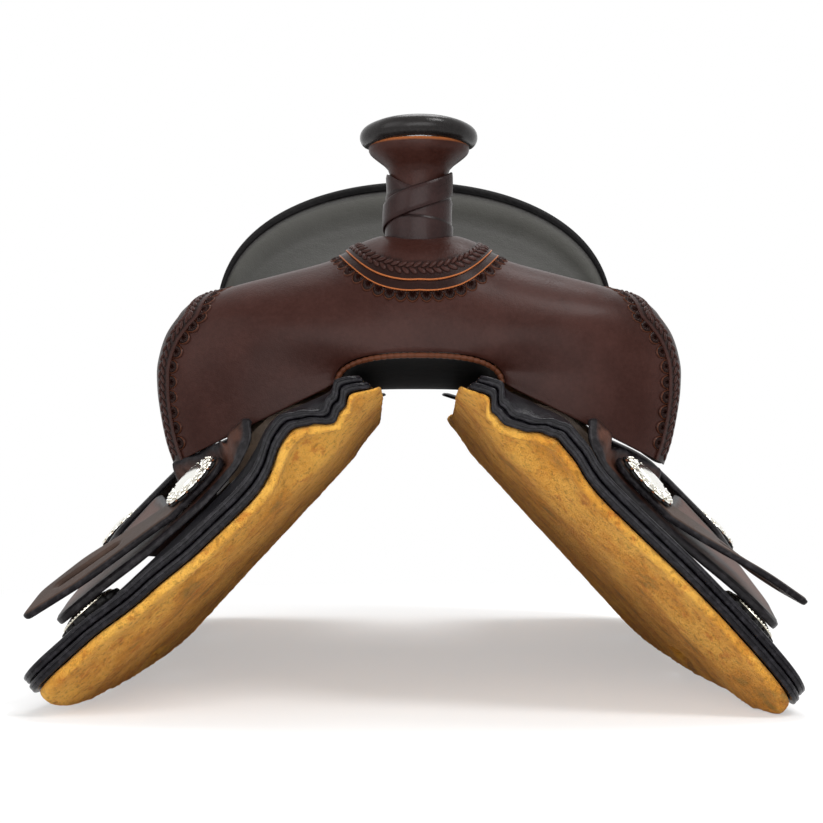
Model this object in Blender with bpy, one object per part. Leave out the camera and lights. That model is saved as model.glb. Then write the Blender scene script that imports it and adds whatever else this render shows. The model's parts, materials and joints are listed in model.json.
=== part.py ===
"""Western trail saddle standing on the lower edges of its skirts.

Metres, +Z up. The saddle faces -Y. The near side is +X, the rider's left, and the off side is -X.
Leather that lies on the horse's back is cut as a flat pattern in (y, s), where s runs down the slope
from the channel, and is bent onto the back at a height n above the underside of the skirts.
"""

from math import atan2, cos, exp, pi, radians, sin

import bmesh
import bpy
from mathutils import Matrix, Vector

for leftover in list(bpy.data.objects):
    bpy.data.objects.remove(leftover, do_unlink=True)

# Sides: the sign of X. Gap between touching pieces
SIDES = {"off": -1, "near": 1}
GAP = 0.0003

# The horse's back, on which the skirts lie: its ridge line, the slope of its sides, the roll over
# the channel's edge, the shoulder over the front bar tip, and how far each skirt's front tip flexes
CHANNEL_X = 0.057
BACK_Z = 0.170
BACK_RISE = (-0.0091, 0.0918)
SLOPE_DEG = (46.5, 5.6, -6.9)
CHANNEL_ROLL = 0.008
ROLL_S = (-0.040, 0.006)
SHOULDER_HEIGHT = 0.012
SHOULDER_S = 0.025
SHOULDER_WIDTH = 0.025
SHOULDER_START_Y = -0.288
SHOULDER_FULL_Y = -0.322
FLEX = {-1: 0.0035, 1: -0.0075}
FLEX_S = (0.130, 0.250)
FLEX_Y = (-0.320, -0.180)

# Heights above the back: fleece hangs below, leather and wood stack above
FLEECE = 0.0175
FLEECE_FRONT_SHARE = 0.35
FLEECE_FRONT_Y = (-0.336, -0.275)
FLEECE_INNER_SHARE = 0.30
FLEECE_INNER_S = (-0.040, 0.015)
SKIRT_LAYER = 0.0057
LAYER_GAP = 0.0006
SKIRT_TOP = 2 * SKIRT_LAYER + 2 * LAYER_GAP
JOCKEY_LEATHER = 0.0042
BAR_BOTTOM = SKIRT_TOP + GAP
BAR_TOP = 0.0350
BAR_WAIST_TOP = 0.0290
BAR_INNER_TOP = 0.0185

# Skirts as flat patterns of (y, s, corner radius), and the strap slots through them
SKIRT_OUTLINE = [
    (-0.324, -0.018, 0.006), (-0.334, 0.060, 0), (-0.336, 0.150, 0), (-0.329, 0.2495, 0.026),
    (-0.200, 0.2325, 0), (0.000, 0.2198, 0), (0.200, 0.2198, 0), (0.342, 0.2245, 0.070),
    (0.326, -0.018, 0.030),
]
FLEECE_OUTLINE = [(-0.324, -0.038, 0.010), *SKIRT_OUTLINE[1:-1], (0.326, -0.038, 0.030)]
SKIRT_TRIM = 0.0010
FLEECE_TRIM = 0.0015
LATIGO_SLOT = (0.056, 0.013)

# Bars: length, the notch for the stirrup leather, and (y, fullness, top) stations
BAR_SECTION_LOW = [(-0.016, 0.002), (0.006, 0.0), (0.078, 0.0), (0.086, 0.005)]
BAR_SECTION_TOP_S = (0.066, 0.012)
BAR_MIDDLE_S = 0.036
NOTCH = (-0.125, -0.060)
NOTCH_TOP = 0.0250
NOTCH_EASE = 0.004
BAR_STATIONS = [
    (-0.273, 0.72, BAR_TOP), (-0.258, 0.95, BAR_TOP), (-0.230, 1, BAR_TOP), (-0.180, 1, 0.0325),
    (NOTCH[0] - NOTCH_EASE, 1, 0.0300), (NOTCH[0], 1, NOTCH_TOP), (NOTCH[1], 1, NOTCH_TOP),
    (NOTCH[1] + NOTCH_EASE, 1, BAR_WAIST_TOP), (0.000, 1, BAR_WAIST_TOP), (0.060, 1, BAR_WAIST_TOP),
    (0.120, 1, BAR_TOP), (0.180, 1, BAR_TOP), (0.230, 1, BAR_TOP), (0.270, 0.85, BAR_TOP),
    (0.300, 0.50, BAR_TOP),
]

# Fork, also called the swell, and the gullet arch under it
FORK_Y = -0.236
FORK_DEPTH = 0.057
SWELL_DEPTH = 0.050
COVER_LEATHER = 0.0040
WOOD_INSET = COVER_LEATHER + 0.0012
ARCH_HALF = 0.0535
ARCH_END_Z = 0.2020
ARCH_TOP_Z = 0.2225
ARCH_POWER = 2.5
REAR_ARCH_HALF = 0.0735
REAR_ARCH_END_Z = 0.2185
REAR_ARCH_TOP_Z = 0.2285
SOLE_Z = 0.2285
SWELL_OUTLINE = [
    (0.0, 0.2985), (0.0264, 0.2958), (0.0555, 0.2838), (0.0900, 0.2742), (0.1225, 0.2655),
    (0.1450, 0.2560), (0.1605, 0.2385), (0.1672, 0.2185), (0.1678, 0.2030), (0.1660, 0.1870),
    (0.1620, 0.1670), (0.1570, 0.1520),
]
LINER_LEATHER = 0.0022
LINER_Y = (-0.2825, -0.192)
LINER_REACH = 0.86
BINDING_RADIUS = 0.0021
BINDING_FORWARD = 0.0016

# Horn
HORN_Y = -0.240
HORN_TILT = radians(2)
HORN_TILT_FROM = 0.334
HORN_TILT_TO = 0.356
CAP_RADIUS = 0.0380
CAP_TOP_Z = 0.3735
CAP_TOP_RADIUS = 0.018
CAP_RIM_Z = 0.3655
CAP_RIM_WIDE = 0.0066
CAP_RIM_TALL = 0.0068
CAP_UNDER = (0.0330, 0.3604)
NECK_RADIUS = 0.0188
WRAP_RADIUS = 0.0213
WRAP_TOP_Z = (0.3290, 0.3388)
COVER_HOLE = 0.0236
SHANK_HOLE = 0.0124
CORE_PROFILE = [
    (0, 0.264), (0.0118, 0.264), (0.0118, 0.2935), (NECK_RADIUS, 0.2950), (NECK_RADIUS, 0.3245),
    (0.0164, 0.3255), (0.0164, 0.3350), (0.0205, 0.3440), (0.0303, 0.3538), (0.0303, 0.3600), (0, 0.3600),
]
FLARE_PROFILE = [
    (0.0168, 0.3262), (0.0186, 0.3262), (0.0190, 0.3392), (0.0224, 0.3442), (0.0275, 0.3485),
    (0.0323, 0.3530), (0.0323, 0.3580), (0.0307, 0.3580), (0.0307, 0.3538), (0.0209, 0.3440),
    (0.0168, 0.3347),
]
STRAP_Z = 0.3235
STRAP_CLIMB = 0.0075
STRAP_LEATHER = 0.0013
STRAP_EDGES = [-0.0085, 0.0, 0.0068]

# Seat and cantle
SEAT_FRONT_HALF = 0.098
SEAT_FRONT_Y = -0.166
SEAT_FRONT_Z = 0.252
SEAT_DIP = (-0.030, 0.222)
SEAT_DISH = (0.096, 0.125, 0.212)
CANTLE_HALF = 0.166
CANTLE_END_Y = 0.130
CANTLE_DEPTH = 0.085
CANTLE_END_Z = 0.2655
CANTLE_RISE = 0.1280
SEAT_LEATHER = 0.0035
FOAM = 0.0100
GROUND_SEAT = 0.0060
STRAINER = 0.0014
SEAT_STACK = 0.0300
BACK_LEATHER = 0.0030
SEAT_GAP = 0.0008

# Jockeys as flat patterns of (y, s, corner radius)
FRONT_JOCKEY = [
    (-0.2900, 0.0300, 0.006), (-0.3085, 0.0420, 0.012), (-0.3125, 0.0900, 0), (-0.3060, 0.2090, 0.016),
    (-0.2400, 0.2020, 0.030), (-0.1940, 0.1500, 0.020), (-0.1920, 0.1040, 0.008), (-0.2400, 0.0940, 0),
    (-0.2895, 0.0660, 0.006),
]
EAR_RISE = 0.0125
EAR_Y = (-0.3125, -0.2925)
EAR_S = (0.022, 0.038, 0.050, 0.062)
SEAT_JOCKEY = [
    (-0.176, 0.036, 0.006), (-0.187, 0.104, 0), (-0.186, 0.150, 0.020), (-0.150, 0.178, 0.030),
    (-0.050, 0.176, 0), (0.040, 0.156, 0.040), (0.098, 0.120, 0.020), (0.098, 0.040, 0.004),
]
REAR_JOCKEY = [
    (0.102, 0.040, 0.004), (0.102, 0.116, 0.010), (0.190, 0.104, 0.060), (0.292, 0.066, 0.050),
    (0.296, -0.020, 0.040), (0.232, -0.060, 0.010), (0.206, -0.060, 0.004), (0.180, 0.010, 0.020),
]
HINGE_Y = (-0.160, 0.080)
HINGE_S = 0.040

# Latigo keepers, conchos and rosettes
KEEPER_AT = (-0.290, 0.087)
KEEPER_LEATHER = 0.0046
KEEPER_HALF_WIDTH = 0.0215
KEEPER_BEHIND = 0.023
KEEPER_REACH = 0.131
KEEPER_STANDOFF = 0.0018
KEEPER_BEND_AT = 0.024
KEEPER_UNTWIST = {"off": radians(3), "near": radians(-15)}
KEEPER_RISE = {"off": 0.15, "near": 0.18}
KEEPER_SLOT = (0.086, 0.001, 0.044, 0.0095)
SKIRT_CONCHO_AT = (-0.288, 0.194)
JOCKEY_CONCHO_AT = (-0.140, 0.152)
CONCHO_ROWS = [(0, 0.0), (1, 0.0), (1, 0.0012), (0.86, 0.0026), (0.70, 0.0021), (0.35, 0.0040), (0, 0.0046)]
DOME_ROWS = [(0, 0.0), (1, 0.0), (1, 0.0008), (0.90, 0.0028), (0.55, 0.0047), (0, 0.0053)]
ROSETTE_ROWS = [(-1, 0.0), (1, 0.0), (1, 1.0), (-1, 1.0)]
ROSETTE_BORE = 0.0026
ROSETTE_LEATHER = 0.0018
SKIRT_ROSETTE_LEATHER = 0.0032
SCREW_RADIUS = 0.0021

# Rigging plates: (along, down, corner radius) corners, and the riveted strip
FRONT_PLATE_AT = (-0.120, 0.203)
REAR_PLATE_AT = (0.150, 0.200)
PLATE_THICKNESS = 0.0030
PLATE_CORNERS = [
    (-0.046, -0.018, 0.008), (0.046, -0.018, 0.008), (0.038, 0.0155, 0.008), (-0.038, 0.0155, 0.008),
]
RIVET_STEP = 0.0225
RIVET_COUNT = 4
RIVET_ROW = -0.0127
RIVET_HEAD = (0.0036, 0.0021)
RIVET_NECK = (0.0021, 0.0011)

# A flat pattern is sheared by this share while it is cut into triangles, so that every square has
# one shorter diagonal and is cut the same way on both sides of the saddle
SHEAR = 0.05


def smooth(low, high, value):
    """Eases from 0 at low to 1 at high."""
    t = min(max((value - low) / (high - low), 0.0), 1.0)
    return t * t * (3 - 2 * t)


def mix(a, b, t):
    return a + (b - a) * t


def along(stations, value):
    """Reads a smooth value between (place, value) stations."""
    if value <= stations[0][0]:
        return stations[0][1]
    for (start, first), (end, last) in zip(stations, stations[1:]):
        if value <= end:
            return mix(first, last, smooth(start, end, value))
    return stations[-1][1]


# The horse's back and the heights of the leather that is draped over it

def back_frame(side, y):
    """Origin, downhill direction and outward normal of the back at a station y."""
    base, tilt, sag = SLOPE_DEG
    angle = radians(base + tilt * y + sag * y * y)
    rise, bow = BACK_RISE
    origin = Vector((side * CHANNEL_X, y, BACK_Z + rise * y + bow * y * y))
    downhill = Vector((side * cos(angle), 0, -sin(angle)))
    normal = Vector((side * sin(angle), 0, cos(angle)))
    return origin, downhill, normal


def on_back(side, y, s, n):
    """A point s down the slope and n above the back, with the shoulder over the front bar tip."""
    origin, downhill, normal = back_frame(side, y)
    shoulder = SHOULDER_HEIGHT * (1 - smooth(SHOULDER_FULL_Y, SHOULDER_START_Y, y))
    shoulder *= exp(-(((s - SHOULDER_S) / SHOULDER_WIDTH) ** 2))
    roll = CHANNEL_ROLL * (1 - smooth(*ROLL_S, s))
    start, end = FLEX_S
    flex = FLEX[side] * (max(s - start, 0.0) / (end - start)) ** 2 * (1 - smooth(*FLEX_Y, y))
    return origin + downhill * s + normal * (n + shoulder + flex - roll)


def front_jockey_height(y, s):
    """Underside of the front jockey: low at its front edge, with an ear up against the swell."""
    front = along([(0.03, 0.0125), (0.062, 0.0118), (0.10, 0.0114), (0.205, 0.0195)], s)
    rear = along([(0.05, 0.0520), (0.087, 0.0500), (0.16, 0.0480), (0.205, 0.0440)], s)
    start, full, fade, end = EAR_S
    ear = EAR_RISE * smooth(*EAR_Y, y) * smooth(start, full, s) * (1 - smooth(fade, end, s))
    return mix(front, rear, min(max((y + 0.318) / 0.130, 0.0), 1.0)) + ear


def jockey_height(y, s):
    """Underside of the seat and rear jockeys: over the bar, and clear of the stirrup leathers."""
    height = 0.0372
    height += 0.0150 * smooth(0.03, 0.09, s) * (1 - smooth(-0.09, 0.05, y))
    height -= 0.0215 * smooth(0.088, 0.135, s) * smooth(-0.03, 0.08, y)
    height -= 0.55 * max(0.012 - s, 0.0)
    return height


# Mesh building

def finish(name, bm, colour, roughness, metallic=0.0):
    """Turns a closed mesh into a named object with its own material."""
    bmesh.ops.recalc_face_normals(bm, faces=bm.faces[:])
    bmesh.ops.triangulate(bm, faces=bm.faces[:], ngon_method="EAR_CLIP")
    if bm.calc_volume(signed=True) < 0:
        bmesh.ops.reverse_faces(bm, faces=bm.faces[:])
    mesh = bpy.data.meshes.new(name)
    bm.to_mesh(mesh)
    bm.free()
    mesh.shade_smooth()
    mesh.set_sharp_from_angle(angle=radians(40))
    material = bpy.data.materials.new(name)
    material.use_nodes = True
    shader = material.node_tree.nodes["Principled BSDF"]
    shader.inputs["Base Color"].default_value = (*colour, 1)
    shader.inputs["Roughness"].default_value = roughness
    shader.inputs["Metallic"].default_value = metallic
    mesh.materials.append(material)
    piece = bpy.data.objects.new(name, mesh)
    bpy.context.scene.collection.objects.link(piece)
    return piece


BLACK_LEATHER = ((0.035, 0.033, 0.032), 0.42)
BROWN_LEATHER = ((0.105, 0.048, 0.034), 0.45)
TAN_LEATHER = ((0.42, 0.24, 0.12), 0.6)
SEAT_BLACK = ((0.045, 0.045, 0.042), 0.5)
FLEECE_GOLD = ((0.62, 0.38, 0.11), 0.95)
WOOD = ((0.55, 0.42, 0.26), 0.7)
STEEL = ((0.55, 0.55, 0.56), 0.35, 1.0)
SILVER = ((0.86, 0.85, 0.80), 0.22, 1.0)
FOAM_GREY = ((0.35, 0.35, 0.33), 0.9)


def rounded(corners, steps=3):
    """Closed outline from (a, b, radius) corners, each turned with an arc."""
    points = []
    count = len(corners)
    for index, (a, b, radius) in enumerate(corners):
        here = Vector((a, b))
        before = (Vector(corners[index - 1][:2]) - here).normalized()
        after = (Vector(corners[(index + 1) % count][:2]) - here).normalized()
        if radius == 0:
            points.append(here)
            continue
        half = before.angle(after) / 2
        reach = radius / abs(sin(half)) * cos(half)
        centre = here + (before + after).normalized() * (radius / sin(half))
        start = here + before * reach - centre
        end = here + after * reach - centre
        turn = atan2(start.x * end.y - start.y * end.x, start.dot(end))
        for step in range(steps + 1):
            angle = turn * step / steps
            spun = Vector((start.x * cos(angle) - start.y * sin(angle),
                           start.x * sin(angle) + start.y * cos(angle)))
            points.append(centre + spun)
    return points


def circle(a, b, radius, count=10):
    return [Vector((a + radius * cos(2 * pi * k / count), b + radius * sin(2 * pi * k / count)))
            for k in range(count)]


def slot(a, b, length, width, turn=0.0, steps=2):
    """Round-ended slot centred at (a, b), long along a before it is turned."""
    half = length / 2 - width / 2
    points = []
    for centre, start in ((half, -pi / 2), (-half, pi / 2)):
        for step in range(steps + 1):
            angle = start + pi * step / steps
            x = centre + width / 2 * cos(angle)
            y = width / 2 * sin(angle)
            points.append(Vector((a + x * cos(turn) - y * sin(turn), b + x * sin(turn) + y * cos(turn))))
    return points


def trimmed(corners, by):
    """The same corners drawn in by a small amount towards their middle."""
    middle = sum((Vector(corner[:2]) for corner in corners), Vector((0, 0))) / len(corners)
    inner = []
    for a, b, radius in corners:
        inner.append((a - by * (1 if a > middle.x else -1), b - by * (1 if b > middle.y else -1), radius))
    return inner


def cut_lines(bm, places, axis):
    """Divides a flat pattern along lines of constant a or b, so that it can bend."""
    for place in places:
        where = Vector((place, 0, 0)) if axis == 0 else Vector((0, place, 0))
        across = Vector((1, 0, 0)) if axis == 0 else Vector((0, 1, 0))
        geometry = bm.verts[:] + bm.edges[:] + bm.faces[:]
        bmesh.ops.bisect_plane(bm, geom=geometry, plane_co=where, plane_no=across, dist=1e-6)


def merge_cells(bm, cuts_a, cuts_b, holes):
    """Removes the fill's diagonals inside each cell of the cutting lines, except round holes."""
    on_hole = {(round(p.x, 6), round(p.y, 6)) for hole in holes for p in hole}
    spare = []
    for edge in bm.edges:
        if len(edge.link_faces) != 2:
            continue
        middle = (edge.verts[0].co + edge.verts[1].co) / 2
        on_line = any(abs(middle.x - place) < 1e-5 for place in cuts_a)
        on_line = on_line or any(abs(middle.y - place) < 1e-5 for place in cuts_b)
        at_hole = any((round(v.co.x, 6), round(v.co.y, 6)) in on_hole for v in edge.verts)
        if not on_line and not at_hole:
            spare.append(edge)
    bmesh.ops.dissolve_edges(bm, edges=spare, use_verts=False)
    straight = [v for v in bm.verts if len(v.link_edges) == 2 and not v.is_boundary]
    bmesh.ops.dissolve_verts(bm, verts=straight)


def sheet(name, outline, bend, low, high, cuts, finish_with, holes=()):
    """Cuts a pattern of even thickness with holes, and bends it with bend(a, b, n)."""
    bm = bmesh.new()
    for loop in [outline, *holes]:
        verts = [bm.verts.new((point.x, point.y, 0)) for point in loop]
        for index, vert in enumerate(verts):
            bm.edges.new((vert, verts[(index + 1) % len(verts)]))
    bmesh.ops.triangle_fill(bm, use_beauty=True, edges=bm.edges[:], normal=(0, 0, 1))
    cuts_a, cuts_b = cuts
    cut_lines(bm, cuts_a, 0)
    cut_lines(bm, cuts_b, 1)
    merge_cells(bm, cuts_a, cuts_b, holes)
    for vert in bm.verts:
        vert.co.x += SHEAR * vert.co.y
    bmesh.ops.triangulate(bm, faces=bm.faces[:])
    for vert in bm.verts:
        vert.co.x -= SHEAR * vert.co.y
    raised = bmesh.ops.extrude_face_region(bm, geom=bm.faces[:], use_keep_orig=True)
    upper = {item for item in raised["geom"] if isinstance(item, bmesh.types.BMVert)}
    for vert in bm.verts:
        vert.co = bend(vert.co.x, vert.co.y, high if vert in upper else low)
    return finish(name, bm, *finish_with)


def slab(name, surface, us, vs, low, high, finish_with):
    """Closed slab between two heights over a surface(u, v, n)."""
    bm = bmesh.new()
    layers = []
    for height in (low, high):
        layers.append([[bm.verts.new(surface(u, v, height)) for v in vs] for u in us])
    last_u = len(us) - 1
    last_v = len(vs) - 1
    for layer in layers:
        for i in range(last_u):
            for j in range(last_v):
                bm.faces.new((layer[i][j], layer[i + 1][j], layer[i + 1][j + 1], layer[i][j + 1]))
    rim = [(i, 0) for i in range(last_u)] + [(last_u, j) for j in range(last_v)]
    rim += [(i, last_v) for i in range(last_u, 0, -1)] + [(0, j) for j in range(last_v, 0, -1)]
    for index, (i, j) in enumerate(rim):
        k, m = rim[(index + 1) % len(rim)]
        bm.faces.new((layers[0][i][j], layers[0][k][m], layers[1][k][m], layers[1][i][j]))
    return finish(name, bm, *finish_with)


def loft(name, rings, finish_with, closed=False):
    """Skins a row of equal rings and caps both ends, or joins the last ring to the first."""
    bm = bmesh.new()
    rows = [[bm.verts.new(point) for point in ring] for ring in rings]
    count = len(rings[0])
    pairs = list(zip(rows, rows[1:]))
    if closed:
        pairs.append((rows[-1], rows[0]))
    for first, second in pairs:
        for k in range(count):
            after = (k + 1) % count
            bm.faces.new((first[k], first[after], second[after], second[k]))
    if not closed:
        bm.faces.new(rows[0])
        bm.faces.new(rows[-1])
    return finish(name, bm, *finish_with)


def spread(start, end, count):
    """Even stations from start to end."""
    return [mix(start, end, k / (count - 1)) for k in range(count)]


def offset(surface, u, v, n, nudge=0.002):
    """Moves a surface point out along its normal, measured from close neighbours."""
    across = surface(u + nudge, v) - surface(u - nudge, v)
    along_v = surface(u, v + nudge) - surface(u, v - nudge)
    return surface(u, v) + across.cross(along_v).normalized() * n


def curve_through(points, t):
    """Catmull-Rom curve through points, with t from 0 to 1."""
    span = t * (len(points) - 1)
    index = min(max(int(span), 0), len(points) - 2)
    local = span - index
    p1, p2 = Vector(points[index]), Vector(points[index + 1])
    p0 = Vector(points[index - 1]) if index > 0 else 2 * p1 - p2
    p3 = Vector(points[index + 2]) if index + 2 < len(points) else 2 * p2 - p1
    return 0.5 * (2 * p1 + (p2 - p0) * local + (2 * p0 - 5 * p1 + 4 * p2 - p3) * local ** 2
                  + (3 * p1 - p0 - 3 * p2 + p3) * local ** 3)


# Skirts, fleece and bars

SKIRT_CUTS = (
    [-0.322, -0.310, -0.299, -0.288, -0.200, -0.080, 0.040, 0.160, 0.270],
    [-0.028, -0.012, 0.0, 0.0125, 0.025, 0.0375, 0.050, 0.075, 0.140, 0.200],
)


def side_bend(side, height=None):
    """Bend for one side of the saddle, at heights above the back or above another surface."""
    if height is None:
        return lambda y, s, n: on_back(side, y, s, n)
    return lambda y, s, n: on_back(side, y, s, height(y, s) + n)


def fleece_bend(side):
    """Bend that thins the fleece at its front and inner edges, and presses it flat on the floor."""
    def bend(y, s, n):
        share = mix(FLEECE_FRONT_SHARE, 1, smooth(*FLEECE_FRONT_Y, y))
        share *= mix(FLEECE_INNER_SHARE, 1, smooth(*FLEECE_INNER_S, s))
        point = on_back(side, y, s, n * share if n < -LAYER_GAP else n)
        point.z = max(point.z, 0.0)
        return point
    return bend


def make_skirts(label, side):
    slots = [slot(y, s, *LATIGO_SLOT) for y, s in (FRONT_PLATE_AT, REAR_PLATE_AT)]
    sheet(f"fleece_{label}", rounded(trimmed(FLEECE_OUTLINE, FLEECE_TRIM)), fleece_bend(side), -FLEECE,
          -LAYER_GAP, SKIRT_CUTS, FLEECE_GOLD, slots)
    sheet(f"skirt_lower_{label}", rounded(SKIRT_OUTLINE), side_bend(side), 0, SKIRT_LAYER,
          SKIRT_CUTS, BLACK_LEATHER, slots)
    sheet(f"skirt_upper_{label}", rounded(trimmed(SKIRT_OUTLINE, SKIRT_TRIM)), side_bend(side),
          SKIRT_LAYER + LAYER_GAP, SKIRT_TOP - LAYER_GAP, SKIRT_CUTS, BLACK_LEATHER, slots)


def bar_ring(side, y, fullness, top):
    """Cross-section of a bar, drawn in at its tips."""
    outer_s, inner_s = BAR_SECTION_TOP_S
    section = [(s, BAR_BOTTOM + rise) for s, rise in BAR_SECTION_LOW]
    section += [(outer_s, top), (inner_s, top), (BAR_SECTION_LOW[0][0], min(BAR_INNER_TOP, top))]
    ring = []
    for s, n in section:
        height = BAR_BOTTOM + (n - BAR_BOTTOM) * fullness
        ring.append(on_back(side, y, BAR_MIDDLE_S + (s - BAR_MIDDLE_S) * fullness, height))
    return ring


def make_bar(label, side):
    loft(f"tree_bar_{label}", [bar_ring(side, *station) for station in BAR_STATIONS], WOOD)


# Fork, its cover and the gullet

def arch(u, half, end_z, top_z):
    """Gullet arch, with u from -1 to 1 across it."""
    x = half * sin(u * pi / 2)
    share = max(1 - abs(sin(u * pi / 2)) ** ARCH_POWER, 0.0) ** (1 / ARCH_POWER)
    return Vector((x, mix(end_z, top_z, share)))


def fork_surface(u, v):
    """Outer surface of the fork: u across from leg to leg, v from front lip over to rear lip."""
    outer = curve_through(SWELL_OUTLINE, min(abs(u), 1.0) ** 1.05)
    if u < 0:
        outer.x = -outer.x
    foot = (1 if u > 0 else -1) * min(abs(u), 1.0) ** 0.8
    if v < 0.5:
        inner = arch(foot, ARCH_HALF, ARCH_END_Z, ARCH_TOP_Z)
    else:
        inner = arch(foot, REAR_ARCH_HALF, REAR_ARCH_END_Z, REAR_ARCH_TOP_Z)
    turn = min(max(v, 0.0), 1.0) * pi
    reach = max(sin(turn), 0.0) ** 0.8
    depth = mix(FORK_DEPTH, SWELL_DEPTH, smooth(0.2, 0.8, abs(u)))
    lean = cos(turn)
    y = FORK_Y - depth * (abs(lean) ** 0.85) * (1 if lean > 0 else -1)
    point = inner + (outer - inner) * reach
    return Vector((point.x, y, point.y))


def fork_at(u, v, n):
    """Fork surface moved out by n, with stations kept just inside its edges."""
    safe_u = min(max(u, -0.995), 0.995)
    safe_v = min(max(v, 0.012), 0.988)
    shift = offset(fork_surface, safe_u, safe_v, n) - fork_surface(safe_u, safe_v)
    return fork_surface(u, v) + shift


FORK_US = spread(-1, 1, 23)
WOOD_US = [-0.965, *FORK_US[1:-1], 0.965]
FORK_VS = [0.0, 0.06, 0.16, 0.27, 0.38, 0.5, 0.62, 0.73, 0.84, 0.94, 1.0]
WOOD_VS = [0.10, *FORK_VS[2:-2], 0.90]


def wood_ring(u, inset):
    """Closed cross-section of the wooden fork, whose flat foot rests above the bars."""
    ring = [fork_at(u, v, -inset) for v in WOOD_VS]
    sole = ring[0].lerp(ring[-1], 0.5)
    lift = max(SOLE_Z - sole.z, 0.0) * max(1 - abs(u) * 3.2, 0.0)
    for point in (ring[0], ring[-1]):
        point.z += lift
    return ring


def hide(cutter):
    cutter.hide_render = True
    cutter.display_type = "WIRE"


def cut_with(piece, cutter):
    boolean = piece.modifiers.new("cut", "BOOLEAN")
    boolean.operation = "DIFFERENCE"
    boolean.object = cutter
    boolean.solver = "EXACT"


def post_cutter(name, radius):
    """Upright cutter on the horn's axis."""
    rings = [[Vector((p.x, HORN_Y + p.y, z)) for p in circle(0, 0, radius, 32)] for z in (0.262, 0.320)]
    cutter = loft(name, rings, STEEL)
    hide(cutter)
    return cutter


def make_fork():
    wood = loft("tree_fork", [wood_ring(u, WOOD_INSET) for u in WOOD_US], WOOD)
    cut_with(wood, post_cutter("shank_cutter", SHANK_HOLE))
    cover = slab("fork_cover", fork_at, FORK_US, FORK_VS, -COVER_LEATHER, 0, BROWN_LEATHER)
    cut_with(cover, post_cutter("neck_cutter", COVER_HOLE))


def make_gullet():
    """Leather under the arch, and the rolled and stitched binding of its front edge."""
    def under(x_share, y, n):
        point = arch(x_share, ARCH_HALF - 0.004, ARCH_END_Z + 0.003, ARCH_TOP_Z)
        return Vector((point.x, y, point.y + n))
    slab("gullet_liner", under, spread(-LINER_REACH, LINER_REACH, 13), spread(*LINER_Y, 4), 0,
         LINER_LEATHER, BLACK_LEATHER)
    rings = []
    for u in spread(-1, 1, 23):
        lip = fork_surface(u * 0.97, 0.0)
        ahead = fork_surface(u * 0.97 + 0.01, 0.0) - fork_surface(u * 0.97 - 0.01, 0.0)
        inward = Vector((0, 1, 0)).cross(ahead.normalized())
        centre = lip + inward * (BINDING_RADIUS + GAP) + Vector((0, BINDING_FORWARD, 0))
        rings.append([centre + inward * p.x + Vector((0, 1, 0)) * p.y for p in circle(0, 0, BINDING_RADIUS, 8)])
    loft("gullet_binding", rings, BROWN_LEATHER)


# Horn

def horn_point(radius, angle, z):
    """Point round the horn's axis, whose upper part tips up at the front with the cap."""
    x = radius * cos(angle)
    y = radius * sin(angle)
    tip = HORN_TILT * smooth(HORN_TILT_FROM, HORN_TILT_TO, z)
    return Vector((x, HORN_Y + y, z - y * sin(tip)))


def turned(name, profile, finish_with, sides=24):
    """Turns a closed (radius, z) profile round the horn; a radius of 0 closes on the axis."""
    bm = bmesh.new()
    rows = []
    for radius, z in profile:
        if radius == 0:
            rows.append([bm.verts.new(horn_point(0, 0, z))] * sides)
        else:
            rows.append([bm.verts.new(horn_point(radius, 2 * pi * k / sides, z)) for k in range(sides)])
    hollow = all(radius > 0 for radius, z in profile)
    pairs = list(zip(rows, rows[1:])) + ([(rows[-1], rows[0])] if hollow else [])
    for first, second in pairs:
        for k in range(sides):
            after = (k + 1) % sides
            corners = [first[k], first[after], second[after], second[k]]
            face = [vert for index, vert in enumerate(corners) if vert not in corners[:index]]
            if len(face) > 2:
                bm.faces.new(face)
    return finish(name, bm, *finish_with)


def wrap_top(angle):
    """Height of the neck wrap's upper edge: two strips dip to a V at the front."""
    away = abs((angle + pi / 2 + pi) % (2 * pi) - pi)
    low, high = WRAP_TOP_Z
    return mix(low, high, smooth(0.0, 1.5, away))


def make_horn():
    turned("horn_core", CORE_PROFILE, STEEL)
    turned("horn_cap_lower", FLARE_PROFILE, BROWN_LEATHER)
    rim = [(CAP_RADIUS - CAP_RIM_WIDE + CAP_RIM_WIDE * cos(a), CAP_RIM_Z + CAP_RIM_TALL * sin(a))
           for a in (radians(d) for d in range(75, -76, -30))]
    turned("horn_cap_upper", [(0, CAP_TOP_Z), (CAP_TOP_RADIUS, CAP_TOP_Z), *rim, CAP_UNDER,
                              (0, CAP_UNDER[1])], BLACK_LEATHER)
    make_wrap()


def make_wrap():
    sides = 24
    rings = []
    for k in range(sides):
        angle = 2 * pi * k / sides
        top = wrap_top(angle)
        section = [(0.0192, top), (0.0192, 0.2900), (0.0224, 0.2900), (0.0218, 0.3050),
                   (WRAP_RADIUS - 0.0006, 0.3200), (WRAP_RADIUS, top - 0.0015), (WRAP_RADIUS - 0.0006, top)]
        rings.append([horn_point(radius, angle, z) for radius, z in section])
    wrap = loft("horn_wrap", rings, BROWN_LEATHER, closed=True)
    floor = loft("wrap_cutter", [wood_ring(u, WOOD_INSET - 0.0005) for u in WOOD_US], WOOD)
    hide(floor)
    cut_with(wrap, floor)

    def strap(turn, rise, n):
        angle = -pi / 2 + turn
        z = STRAP_Z + STRAP_CLIMB * turn + rise
        radius = mix(0.0216, 0.0213, smooth(0.30, 0.32, z)) + 0.0005 + n
        return horn_point(radius, angle, z)
    slab("horn_wrap_strap", strap, spread(-1.9, 1.15, 16), STRAP_EDGES, 0, STRAP_LEATHER, BROWN_LEATHER)


# Seat and cantle

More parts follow.
